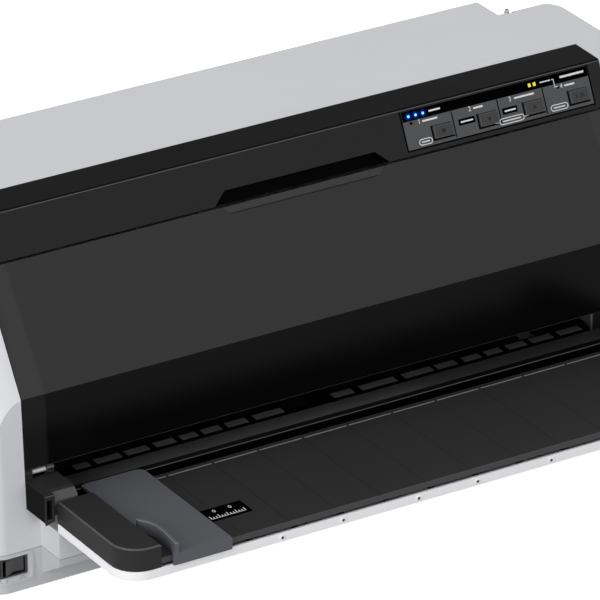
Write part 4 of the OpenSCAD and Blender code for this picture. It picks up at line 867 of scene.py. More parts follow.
@dataclass
class Assembly:
    """What the sub-assemblies share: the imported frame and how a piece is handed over."""

    frame: dict

    def node(self, name: str) -> bpy.types.Object:
        """Gives a CAD node."""
        return self.frame["nodes"][name]

    def body(self, node: str) -> str:
        """Gives the body that a CAD node belongs to."""
        return self.node(node)["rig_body"]

    def coat(self, finish: Finish, *names: str) -> None:
        """Gives CAD nodes that stay as they are their finish.

        Args:
            finish: The finish.
            names: The CAD nodes.
        """
        for name in names:
            dress(self.node(name), finish)
            log.info("node %s: %s", name, finish.name)

    def soften(
        self,
        node: str,
        name: str,
        finish: Finish,
        slot: str,
        soft: float = 0.4,
        rim: Finish | None = None,
        first: Shaping | None = None,
    ) -> bpy.types.Object:
        """Replaces a CAD node by a copy with softened edges.

        Args:
            node: The CAD node.
            name: The piece's name.
            finish: Its finish.
            slot: The record's material slot.
            soft: Width of the softening in millimetres.
            rim: Finish of the softened edges, a painted highlight.
            first: What is done to the copy before all its edges are softened.

        Returns:
            The piece.
        """
        coats = [finish.material()] + ([rim.material()] if rim is not None else [])
        piece = Bench.from_node(self.node(node), name, soft, coats, first)
        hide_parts(node)
        return self.hand_over(piece, self.body(node), slot)

    def hand_over(
        self, piece: bpy.types.Object, body: str, slot: str | None = None
    ) -> bpy.types.Object:
        """Lets a finished piece ride on a body and reports it.

        Args:
            piece: The piece.
            body: The body that it moves with.
            slot: The record's material slot, where it has one; not used.

        Returns:
            The piece.
        """
        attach(piece, body)
        log.info("piece %s on %s: %d faces", piece.name, body, len(piece.data.polygons))
        return piece

    def build(self) -> None:
        """Builds the sub-assembly."""
        raise NotImplementedError


@dataclass
class Studio:
    """Camera, floor and light.

    The camera's distance and shifts are in millimetres. The floor, the point that the lamps look
    at and each lamp's place and side are in metres, and a lamp's power is in watts. The room's
    heights are shares of a direction's climb.
    """

    azimuth: float = -31.6855
    elevation: float = 25.7717
    focal_px: float = 6489.2
    distance: float = 3823.9
    shift_right: float = -29.1
    shift_up: float = 117.1
    image_px: float = 600.0
    sensor: float = 36.0
    clip_end: float = 50.0
    floor_half: float = 4.0
    floor_drop: float = 0.0004
    floor_colour: Colour = (0.35, 0.35, 0.36)
    floor_glow: float = 0.95
    room_heights: Span = (-0.1, 0.8)
    room_levels: Span = (0.3, 0.7)
    aim: Point = (0.0, 0.0, 0.1)
    lamps: tuple[tuple[str, Point, float, float], ...] = (
        ("top_softbox", (-0.3, -0.2, 2.4), 1.6, 4.0),
        ("left_softbox", (-2.6, -1.0, 0.9), 1.4, 36.0),
        ("front_softbox", (-0.6, -2.8, 0.9), 1.2, 15.0),
    )

    def camera(self) -> None:
        """Stands the camera at the photograph's place."""
        a, e = math.radians(self.azimuth), math.radians(self.elevation)
        back = Vector((math.sin(a) * math.cos(e), -math.cos(a) * math.cos(e), math.sin(e)))
        right = Vector((math.cos(a), math.sin(a), 0.0))
        upward = back.cross(right)
        spot = right * self.shift_right + upward * self.shift_up + back * self.distance
        data = bpy.data.cameras.new("camera")
        data.sensor_width = self.sensor
        data.lens = self.focal_px / self.image_px * self.sensor
        data.clip_end = self.clip_end
        camera = bpy.data.objects.new("camera", data)
        camera.location = place(*spot)
        camera.rotation_mode = "QUATERNION"
        camera.rotation_quaternion = (-back).to_track_quat("-Z", "Y")
        bpy.context.scene.collection.objects.link(camera)
        bpy.context.scene.camera = camera

    @staticmethod
    def seen(tree: bpy.types.NodeTree) -> bpy.types.NodeSocket:
        """Gives 1 to the rays that show the background: camera, mirror and glass.

        Args:
            tree: The node tree of a material or of the world.

        Returns:
            The socket that carries it.
        """
        path = tree.nodes.new("ShaderNodeLightPath")
        last = path.outputs["Is Camera Ray"]
        for kind in ("Is Glossy Ray", "Is Transmission Ray"):
            either = tree.nodes.new("ShaderNodeMath")
            either.operation = "MAXIMUM"
            tree.links.new(last, either.inputs[0])
            tree.links.new(path.outputs[kind], either.inputs[1])
            last = either.outputs[0]
        return last

    def floor(self) -> None:
        """Lays a plain pale floor that shows white and keeps the shadow."""
        Bench.deselect()
        bpy.ops.mesh.primitive_plane_add(
            size=2 * self.floor_half, location=(0, 0, -self.floor_drop)
        )
        ground = bpy.context.object
        ground.name = "floor"
        made = bpy.data.materials.new("pale_floor")
        made.use_nodes = True
        nodes, links = made.node_tree.nodes, made.node_tree.links
        shader = nodes["Principled BSDF"]
        shader.inputs["Base Color"].default_value = (*self.floor_colour, 1.0)
        shader.inputs["Roughness"].default_value = 0.9
        shader.inputs["Specular IOR Level"].default_value = 0.1
        glow = nodes.new("ShaderNodeEmission")
        glow.inputs["Strength"].default_value = self.floor_glow
        both = nodes.new("ShaderNodeAddShader")
        pick = nodes.new("ShaderNodeMixShader")
        links.new(shader.outputs[0], both.inputs[0])
        links.new(glow.outputs[0], both.inputs[1])
        links.new(self.seen(made.node_tree), pick.inputs[0])
        links.new(shader.outputs[0], pick.inputs[1])
        links.new(both.outputs[0], pick.inputs[2])
        links.new(pick.outputs[0], nodes["Material Output"].inputs["Surface"])
        ground.data.materials.append(made)

    def world(self) -> None:
        """Fills the room with plain light that is white to the camera."""
        world = bpy.data.worlds.new("room")
        bpy.context.scene.world = world
        world.use_nodes = True
        nodes, links = world.node_tree.nodes, world.node_tree.links
        background = nodes["Background"]
        background.inputs["Color"].default_value = (1.0, 1.0, 1.0, 1.0)
        coords = nodes.new("ShaderNodeTexCoord")
        split = nodes.new("ShaderNodeSeparateXYZ")
        level = nodes.new("ShaderNodeMapRange")
        low, high = self.room_heights
        level.inputs["From Min"].default_value = low
        level.inputs["From Max"].default_value = high
        dim, bright = self.room_levels
        level.inputs["To Min"].default_value = dim
        level.inputs["To Max"].default_value = bright
        seen = nodes.new("ShaderNodeMix")
        seen.inputs["B"].default_value = 1.0
        links.new(coords.outputs["Generated"], split.inputs["Vector"])
        links.new(split.outputs["Z"], level.inputs["Value"])
        links.new(self.seen(world.node_tree), seen.inputs["Factor"])
        links.new(level.outputs["Result"], seen.inputs["A"])
        links.new(seen.outputs["Result"], background.inputs["Strength"])

    def lamp(self, name: str, spot: Point, size: float, watts: float) -> None:
        """Hangs one large soft lamp that looks at the printer.

        Args:
            name: The lamp's name.
            spot: Its place in metres.
            size: Its side in metres.
            watts: Its power.
        """
        data = bpy.data.lights.new(name, "AREA")
        data.size = size
        data.energy = watts
        lamp = bpy.data.objects.new(name, data)
        lamp.location = spot
        lamp.rotation_mode = "QUATERNION"
        lamp.rotation_quaternion = (Vector(self.aim) - Vector(spot)).to_track_quat("-Z", "Y")
        bpy.context.scene.collection.objects.link(lamp)

    def build(self) -> None:
        """Builds the studio."""
        self.camera()
        self.floor()
        self.world()
        for name, spot, size, watts in self.lamps:
            self.lamp(name, spot, size, watts)
        bpy.context.scene.view_settings.view_transform = "Standard"


@dataclass
class Case(Assembly):
    """The white mouldings, feet and screws."""

    shell_soft: float = 0.7
    base_soft: float = 0.5
    lever_x: float = 209.0
    cap_half: float = 0.75
    cap_soft: float = 0.2
    cap_y: Span = (153.7, 155.2)
    tip_z: Span = (209.0, 210.18)
    tip_drop: float = 0.4

    def _lower_tip(self, piece: bpy.types.Object) -> None:
        """Lowers the lever's tip, so that its cap stands proud of it.

        Args:
            piece: The lever's copy.
        """
        if Bench.pick(
            piece,
            Element.FACE,
            lambda middle, normal: normal.z > FACING and middle.z > self.tip_z[1] - NEAR,
        ):
            bpy.ops.transform.translate(value=(0, 0, -self.tip_drop * MM))
        Bench.close()

    def lever(self) -> None:
        """White lever with a dark cap on its tip."""
        self.soften(
            "release_lever",
            "release_lever_arm",
            WHITE_CASE,
            "black_case",
            soft=0.2,
            first=self._lower_tip,
        )
        cap = Bench.block(
            "release_lever_cap",
            (self.lever_x - self.cap_half, self.cap_y[0] - MID_Y, self.tip_z[0]),
            (self.lever_x + self.cap_half, self.cap_y[1] - MID_Y, self.tip_z[1]),
            self.cap_soft,
        )
        dress(cap, CAP_GREY)
        self.hand_over(cap, self.body("release_lever"), "black_case")

    def build(self) -> None:
        """Builds the case."""
        self.soften("upper_case", "upper_shell", WHITE_CASE, "white_case", soft=self.shell_soft)
        # The base takes the darker copy of the case white: painted shade.
        self.soften("lower_case", "base_shell", BASE_WHITE_SHADE, "white_case", soft=self.base_soft)
        self.soften("feet", "rubber_feet", FOOT_RUBBER, "rubber_feet", soft=0.4)
        self.coat(ZINC, "case_screws")
        self.lever()


@dataclass
class StripFace:
    """The leaning face of the control strip, from its top edge down to its low one."""

    top_y: float = 64.0
    top_z: float = 209.3
    low_y: float = 51.9
    height: float = 25.6

    def lean(self) -> float:
        """How far the face leans back, in radians."""
        return math.atan2(self.top_y - self.low_y, self.height)

    def depth(self, spot: Vector) -> float:
        """How far a point lies behind the face.

        Args:
            spot: The point, in the source's millimetres.

        Returns:
            The depth in millimetres.
        """
        lean = self.lean()
        out = Vector((0, -math.cos(lean), math.sin(lean)))
        return -(spot - Vector((0, self.top_y, self.top_z))).dot(out)

    def matrix(self) -> Matrix:
        """Leads from the face's own frame to the row frame.

        Returns:
            The matrix, for x across, negative y out of the face and z up along it.
        """
        return Matrix.Translation(place(0, self.top_y, self.top_z)) @ Matrix.Rotation(
            -self.lean(), 4, "X"
        )


@dataclass
class Printing(Assembly):
    """Flat printed marks that lie a hair above the face that carries them."""

    proud: float = 0.06
    thick: float = 0.05
    font_share: float = 1.35
    pill_round: float = 0.49

    def _stand(self, flat: bpy.types.Object, out: float) -> None:
        """Turns a flat drawing in X and Y upright into X and Z, facing -Y."""
        turn = Matrix.Translation((0, -out * MM, 0)) @ Matrix.Rotation(math.pi / 2, 4, "X")
        Bench.settle(flat, turn)

    def number(self, text: str, x: float, y: float, size: float) -> bpy.types.Object:
        """Writes a plain number or sign, flat in X and Y.

        Args:
            text: What is written.
            x: Middle across.
            y: Middle up.
            size: Height in millimetres.

        Returns:
            The mark as a mesh.
        """
        Bench.deselect()
        bpy.ops.object.text_add(location=(x * MM, y * MM, 0))
        mark = bpy.context.object
        mark.data.body = text
        mark.data.size = size * self.font_share * MM
        mark.data.align_x = "CENTER"
        mark.data.align_y = "CENTER"
        mark.data.extrude = self.thick / 2 * MM
        bpy.ops.object.convert(target="MESH")
        mark = bpy.context.object
        bpy.ops.object.transform_apply(location=True, rotation=True, scale=True)
        return mark

    def bar(self, x: float, y: float, wide: float, high: float) -> bpy.types.Object:
        """Draws a plain bar, flat in X and Y.

        Args:
            x: Middle across.
            y: Middle up.
            wide: Its width.
            high: Its height.

        Returns:
            The mark as a mesh.
        """
        half = self.thick / 2
        return Bench.block(
            "bar", (x - wide / 2, y - high / 2, -half), (x + wide / 2, y + high / 2, half), 0
        )

    def pill(self, x: float, y: float, wide: float, high: float, line: float) -> bpy.types.Object:
        """Draws a rounded outline, flat in X and Y.

        Args:
            x: Middle across.
            y: Middle up.
            wide: Its width.
            high: Its height.
            line: Width of its line.

        Returns:
            The mark as a mesh.
        """
        Bench.deselect()
        bpy.ops.mesh.primitive_plane_add(size=1, location=(x * MM, y * MM, 0))
        mark = bpy.context.object
        mark.scale = (wide * MM, high * MM, 1)
        bpy.ops.object.transform_apply(location=True, rotation=True, scale=True)
        bpy.ops.object.mode_set(mode="EDIT")
        bpy.ops.mesh.select_all(action="SELECT")
        bpy.ops.mesh.bevel(offset=high * self.pill_round * MM, segments=6, affect="VERTICES")
        bpy.ops.mesh.select_mode(type="FACE")
        bpy.ops.mesh.select_all(action="SELECT")
        bpy.ops.mesh.inset(thickness=line * MM, depth=0)
        bpy.ops.mesh.delete(type="FACE")
        bpy.ops.mesh.select_all(action="SELECT")
        bpy.ops.mesh.extrude_region_move(
            TRANSFORM_OT_translate={"value": (0, 0, self.thick * MM)}
        )
        bpy.ops.mesh.select_all(action="SELECT")
        bpy.ops.mesh.normals_make_consistent(inside=False)
        Bench.close()
        return mark


class Sign(Enum):
    """Plain signs on the button caps."""

    BAR = "bar"
    DOWN = "down"
    UP = "up"
    PAIR = "pair"


@dataclass
class ControlStrip(Printing):
    """Black strip, grey panel, four buttons and three lamps.

    A bar or pad is given by its middle across and down the face, its width and its height, a
    pill by its middle and width, a digit by its middle, and a bar of the paired sign by its
    middle across and its width.
    """

    panel_x0: float = 74.2
    panel_x1: float = 205.5
    panel_top: float = 2.0
    panel_low: float = 25.0
    band_low: float = 8.2
    band_gap: float = 0.1
    inlay_out: float = 0.03
    button_x: float = 99.5
    button_pitch: float = 32.2
    button_down: float = 18.2
    button_proud: float = 1.4
    lamp_count: int = 3
    lamp_x: float = 78.7
    lamp_pitch: float = 5.05
    lamp_down: float = 5.3
    lamp_half: float = 1.35
    lamp_rows: Span = (3.9, 6.7)
    glow_thick: float = 0.1
    glow_sides: int = 20
    halo_radius: float = 2.3
    halo_out: float = 0.04
    core_radius: float = 0.75
    core_out: float = 0.2
    bars: tuple[tuple[float, float, float, float], ...] = (
        (97.0, 5.0, 8.0, 1.1),
        (92.6, 9.9, 10.5, 1.1),
        (126.4, 9.95, 6.6, 1.1),
        (159.0, 10.2, 14.0, 1.1),
        (117.0, 16.2, 8.6, 0.9),
        (147.6, 16.4, 7.8, 0.9),
        (175.3, 5.0, 7.5, 0.7),
        (194.4, 4.8, 17.0, 1.3),
        (191.4, 10.3, 7.0, 1.1),
        (181.2, 7.4, 0.45, 4.8),
        (182.3, 9.8, 2.4, 0.45),
        (180.6, 5.0, 1.6, 0.45),
        (86.8, 22.0, 5.6, 0.7),
        (147.4, 22.1, 12.8, 0.7),
        (181.4, 21.9, 8.2, 0.7),
        (137.0, 22.1, 2.6, 0.45),
        (157.8, 22.1, 2.6, 0.45),
    )
    digits: tuple[Pair, ...] = (
        (85.2, 9.8),
        (120.6, 9.9),
        (149.0, 10.1),
        (185.6, 10.2),
    )
    digit_size: float = 3.0
    pills: tuple[tuple[float, float, float], ...] = (
        (86.8, 22.0, 9.4),
        (147.4, 22.1, 17.6),
        (181.4, 21.9, 12.4),
    )
    pill_high: float = 3.9
    pill_line: float = 0.5
    mark_x: Pair = (164.2, 167.7)
    mark_down: float = 5.0
    mark_wide: float = 1.9
    mark_high: float = 2.2
    pads: tuple[tuple[float, float, float, float], ...] = (
        (117.0, 16.2, 11.4, 3.8),
        (147.4, 16.4, 10.6, 3.8),
        (107.87, 16.3, 0.7, 15.6),
        (140.07, 16.3, 0.7, 15.6),
        (172.27, 16.3, 0.7, 15.6),
        (79.6, 9.6, 1.7, 1.7),
        (183.4, 10.3, 1.7, 1.7),
    )
    # Width of the painted shadow lines along the buttons, and a button's half width and half
    # height at which they lie.
    button_shadow_line: float = 0.8
    button_shadow_half: Pair = (7.2, 4.5)
    border_gap: float = 0.6
    border_line: float = 0.7
    border_high: float = 23.6
    border_past: float = 0.9
    signs: tuple[Sign, ...] = (Sign.BAR, Sign.DOWN, Sign.UP, Sign.PAIR)
    sign_radius: float = 1.5
    sign_bar: Pair = (2.6, 2.2)
    sign_pair: tuple[Pair, ...] = ((-2.4, 0.6), (1.0, 0.7), (2.6, 0.7))
    sign_high: float = 2.6
    face: StripFace = field(default_factory=StripFace)
    crease_drop: float = 1.0
    crease_round: float = 0.28
    top_from: float = 207.0
    rim_slope: Span = (0.45, 0.69)
    recess_deep: float = 0.6
    recess_half: float = 64.0
    recess_top: float = 192.0

    def lay(
        self,
        name: str,
        marks: Sequence[bpy.types.Object],
        finish: Finish,
        out: float,
        node: str,
        slot: str | None = None,
    ) -> None:
        """Joins flat marks into a piece and lays it on the strip's face.

        Args:
            name: The piece's name.
            marks: The marks, flat in X and Y.
            finish: The piece's finish.
            out: How far out of the face it lies.
            node: The CAD node that it rides with.
            slot: The record's material slot, where it has one.
        """
        piece = Bench.join(name, marks)
        dress(piece, finish)
        self._stand(piece, out)
        Bench.settle(piece, self.face.matrix())
        self.hand_over(piece, self.body(node), slot)

    def _crease(self, piece: bpy.types.Object) -> None:
        """Rounds the line where the strip's top meets its leaning face.

        Args:
            piece: The strip's copy.
        """
        Bench.round_edges(
            piece,
            self.crease_round,
            lambda middle, way: abs(way.x) > ALONG
            and abs(middle.z - self.face.top_z + self.crease_drop) < NEAR
            and middle.y < self.face.top_y + NEAR,
            2,
        )

    def shell(self) -> None:
        """The strip itself, with a painted darker top, a painted highlight along its front edge
        and painted shade in its recess.
        """
        shell = self.soften(
            "control_strip",
            "strip_shell",
            STRIP_BLACK,
            "black_case",
            soft=0.3,
            first=self._crease,
        )
        # Painted shade: the top faces take a darker, duller copy of the strip's black.
        Bench.paint(
            shell,
            STRIP_TOP_SHADE,
            lambda middle, normal: middle.z > self.top_from and normal.z > self.rim_slope[1],
        )
        # Painted highlight: a light line on the rounded crease at the top front edge.
        Bench.paint(
            shell,
            STRIP_HIGHLIGHT,
            lambda middle, normal: middle.z > self.top_from and within(normal.z, self.rim_slope),
        )
        # Painted shade: near black on the faces sunk behind the strip's face.
        Bench.paint(
            shell,
            RECESS_SHADE,
            lambda middle, normal: self.face.depth(middle) > self.recess_deep
            and abs(middle.x) < self.recess_half
            and middle.z < self.recess_top,
        )

    def _lamp_places(self) -> list[float]:
        """Middles of the lamps, across the strip."""
        return [self.lamp_x + i * self.lamp_pitch for i in range(self.lamp_count)]

    def band(self) -> None:
        """Black band behind the lamps, along the top of the panel."""
        lamps = self._lamp_places()
        edges = [self.panel_x0 + self.band_gap]
        for x in lamps:
            edges += [x - self.lamp_half, x + self.lamp_half]
        edges.append(self.panel_x1 - self.band_gap)
        strips = [
            self.bar(
                (edges[i] + edges[i + 1]) / 2,
                -(self.panel_top + self.band_low) / 2,
                edges[i + 1] - edges[i],
                self.band_low - self.panel_top - self.band_gap,
            )
            for i in range(0, len(edges), 2)
        ]
        over, under = self.lamp_rows
        wide = 2 * self.lamp_half + self.band_gap
        for x in lamps:
            for low, high in ((self.panel_top, over), (under, self.band_low)):
                strips.append(self.bar(x, -(low + high) / 2, wide, high - low - self.band_gap))
        self.lay("panel_band", strips, PANEL_BLACK, self.inlay_out, "panel_face", "black_case")

    def legends(self) -> None:
        """Plain numbers, bars and outlines beside the buttons, in place of words."""
        marks = [self.bar(x, -down, wide, high) for x, down, wide, high in self.bars]
        marks += [
            self.number(str(i + 1), x, -down, self.digit_size)
            for i, (x, down) in enumerate(self.digits)
        ]
        marks += [
            self.pill(x, -down, wide, self.pill_high, self.pill_line)
            for x, down, wide in self.pills
        ]
        self.lay("panel_legends", marks, PRINT_WHITE, self.proud, "panel_face")
        # The two yellow marks are print with a faint painted glow.
        lamps = [
            self.bar(x, -self.mark_down, self.mark_wide, self.mark_high) for x in self.mark_x
        ]
        self.lay("panel_marks", lamps, LAMP_YELLOW, self.proud, "panel_face")

    def trims(self) -> None:
        """Dark pads, painted shadow lines along each button's left and low sides, and the panel's
        border.
        """
        pads = [self.bar(x, -down, wide, high) for x, down, wide, high in self.pads]
        # The bars along each button's left and low sides are painted shadow.
        half, low = self.button_shadow_half
        for i in range(len(self.signs)):
            x = self.button_x + i * self.button_pitch
            for across, down, wide, high in (
                (0, low, 2 * half + self.button_shadow_line, self.button_shadow_line),
                (-half, 0, self.button_shadow_line, 2 * low),
            ):
                pads.append(self.bar(x + across, -self.button_down - down, wide, high))
        self.lay("panel_pads", pads, PANEL_BLACK, self.inlay_out, "panel_face", "black_case")
        x0, x1 = self.panel_x0, self.panel_x1
        middle = -(self.panel_top + self.panel_low) / 2
        below = -self.panel_low - self.border_gap
        border = [
            self.bar(x, middle, self.border_line, self.border_high)
            for x in (x0 - self.border_gap, x1 + self.border_gap)
        ]
        border.append(
            self.bar((x0 + x1) / 2, below, x1 - x0 + 2 * self.border_past, self.border_line)
        )
        self.lay(
            "panel_border", border, PANEL_BLACK, self.inlay_out, "control_strip", "black_case"
        )

    def lamp_cores(self) -> None:
        """Bright spot in the middle of each lamp, and the glow round it painted on the panel."""
        # The halos are painted glow laid on the panel round each lamp.
        for name, radius, out, finish in (
            ("lamp_halos", self.halo_radius, self.halo_out, LAMP_HALO),
            ("lamp_cores", self.core_radius, self.core_out, LAMP_CORE),
        ):
            spots = [
                Bench.disc(
                    "spot", (x, -self.lamp_down, 0), radius, self.glow_thick, self.glow_sides
                )
                for x in self._lamp_places()
            ]
            self.lay(name, spots, finish, out, "status_lamps", "blue_lamp")

    def _draw(self, sign: Sign) -> list[bpy.types.Object]:
        """Draws one cap's sign about its middle.

        Args:
            sign: Which sign.

        Returns:
            The sign's marks, flat in X and Y.
        """
        if sign is Sign.BAR:
            return [self.bar(0, 0, *self.sign_bar)]
        if sign is Sign.PAIR:
            return [self.bar(x, 0, wide, self.sign_high) for x, wide in self.sign_pair]
        Bench.deselect()
        bpy.ops.mesh.primitive_cylinder_add(
            vertices=3, radius=self.sign_radius * MM, depth=self.thick * MM
        )
        mark = bpy.context.object
        if sign is Sign.DOWN:
            Bench.settle(mark, Matrix.Rotation(math.pi, 4, "Z"))
        return [mark]

    def symbols(self) -> None:
        """A plain sign on each cap."""
        for i, sign in enumerate(self.signs):
            spot = Matrix.Translation(
                Vector((self.button_x + i * self.button_pitch, -self.button_down, 0)) * MM
            )
            marks = self._draw(sign)
            for mark in marks:
                Bench.settle(mark, spot)
            out = self.button_proud + self.inlay_out
            self.lay(f"button_{i + 1}_sign", marks, SIGN_DARK, out, f"button_{i + 1}")

    def build(self) -> None:
        """Builds the strip and its panel."""
        self.shell()
        self.soften("panel_face", "panel_inlay", PANEL_GREY, "grey_panel", soft=0.12)
        self.soften("status_lamps", "lamp_windows", LAMP_BLUE, "blue_lamp", soft=0.15)
        # Each cap's softened edges take a painted highlight.
        for i in range(1, len(self.signs) + 1):
            self.soften(
                f"button_{i}",
                f"button_{i}_cap",
                BUTTON_GREY,
                "button_grey",
                soft=0.45,
                rim=BUTTON_HIGHLIGHT,
            )
        self.band()
        self.legends()
        self.trims()
        self.lamp_cores()
        self.symbols()


@dataclass
class PowerSwitch(Printing):
    """Switch housing and rocker in the left cheek, with the usual I and O below."""

    middle_x: float = -225.45
    sign_z: float = 9.3
    sign_y: float = 0.25
    lean: float = 3.6
    signs: tuple[tuple[str, float], ...] = (("I", -5.2), ("O", 5.0))
    sign_size: float = 2.8

    def build(self) -> None:
        """Builds the switch."""
        self.soften("switch_housing", "switch_bezel", SWITCH_BLACK, "switch_black", soft=0.4)
        self.soften("power_rocker", "switch_rocker", SWITCH_BLACK, "switch_black", soft=0.5)
        marks = [self.number(text, x, 0, self.sign_size) for text, x in self.signs]
        for mark in marks:
            self._stand(mark, 0.0)
        signs = Bench.join("switch_signs", marks)
        # The I and O are grey as painted shade for their relief.
        dress(signs, SIGN_SHADE)
        spot = Matrix.Translation(place(self.middle_x, self.sign_y, self.sign_z))
        Bench.settle(signs, spot @ Matrix.Rotation(-math.radians(self.lean), 4, "X"))
        self.hand_over(signs, self.body("lower_case"))


@dataclass
class FrontCover(Assembly):
    """The smoked cover on its two pins."""

    kink_y: float = 7.3
    kink_z: float = 118.8
    lean: float = 34.5
    pull_x: float = -1.0
    pull_w: float = 100.0
    pull_up: float = 72.7
    pull_shadow_line: float = 0.4
    pull_out: float = 0.03
    low_round: float = 0.35
    low_z: float = 74.9
    low_y: float = 5.2
    rim_z: float = 75.2
    window_z: float = 118.5
    rim_slope: Span = (-0.97, -0.1)
    grip_z: float = 176.0
    grip_half: float = 58.0
    grip_slope: Span = (0.68, 0.82)

    def _low_edge(self, piece: bpy.types.Object) -> None:
        """Rounds the cover's low front edge, so that it catches the light.

        Args:
            piece: The cover's copy.
        """
        Bench.round_edges(
            piece,
            self.low_round,
            lambda middle, way: abs(way.x) > ALONG
            and middle.z < self.low_z
            and middle.y < self.low_y,
            2,
        )

    def panes(self) -> None:
        """The cover, with painted shade on its front-facing low face, a painted highlight along
        its low edge and painted light on its pull.
        """
        cover = self.soften(
            "cover",
            "smoked_cover",
            COVER_SMOKE,
            "smoked_cover",
            soft=0.3,
            first=self._low_edge,
        )
        # Painted shade: the front-facing low face goes near black for its dark reflection.
        Bench.paint(
            cover,
            COVER_LOW_SHADE,
            lambda middle, normal: normal.y < self.rim_slope[0] and middle.z < self.window_z,
        )
        # Painted highlight: a light line along the rounded low edge.
        Bench.paint(
            cover,
            COVER_HIGHLIGHT,
            lambda middle, normal: middle.z < self.rim_z and within(normal.y, self.rim_slope),
        )
        # Painted light: the pull's chamfered faces take a lighter copy of the smoked plastic.
        Bench.paint(
            cover,
            PULL_LIT,
            lambda middle, normal: middle.z > self.grip_z
            and abs(middle.x) < self.grip_half
            and within(normal.z, self.grip_slope),
        )

    def build(self) -> None:
        """Builds the cover."""
        self.panes()
        self.coat(PIN_STEEL, "hinge_pins")
        # A thin dark line under the pull: painted shadow.
        line = Printing(self.frame).bar(self.pull_x, 0, self.pull_w, self.pull_shadow_line)
        dress(line, COVER_LOW_SHADE)
        kink = Matrix.Translation(place(0, self.kink_y, self.kink_z))
        turn = kink @ Matrix.Rotation(math.radians(90.0 - self.lean), 4, "X")
        up = Matrix.Translation(Vector((0, self.pull_up, self.pull_out)) * MM)
        Bench.settle(line, turn @ up)
        self.hand_over(line, self.body("cover"), "smoked_cover")


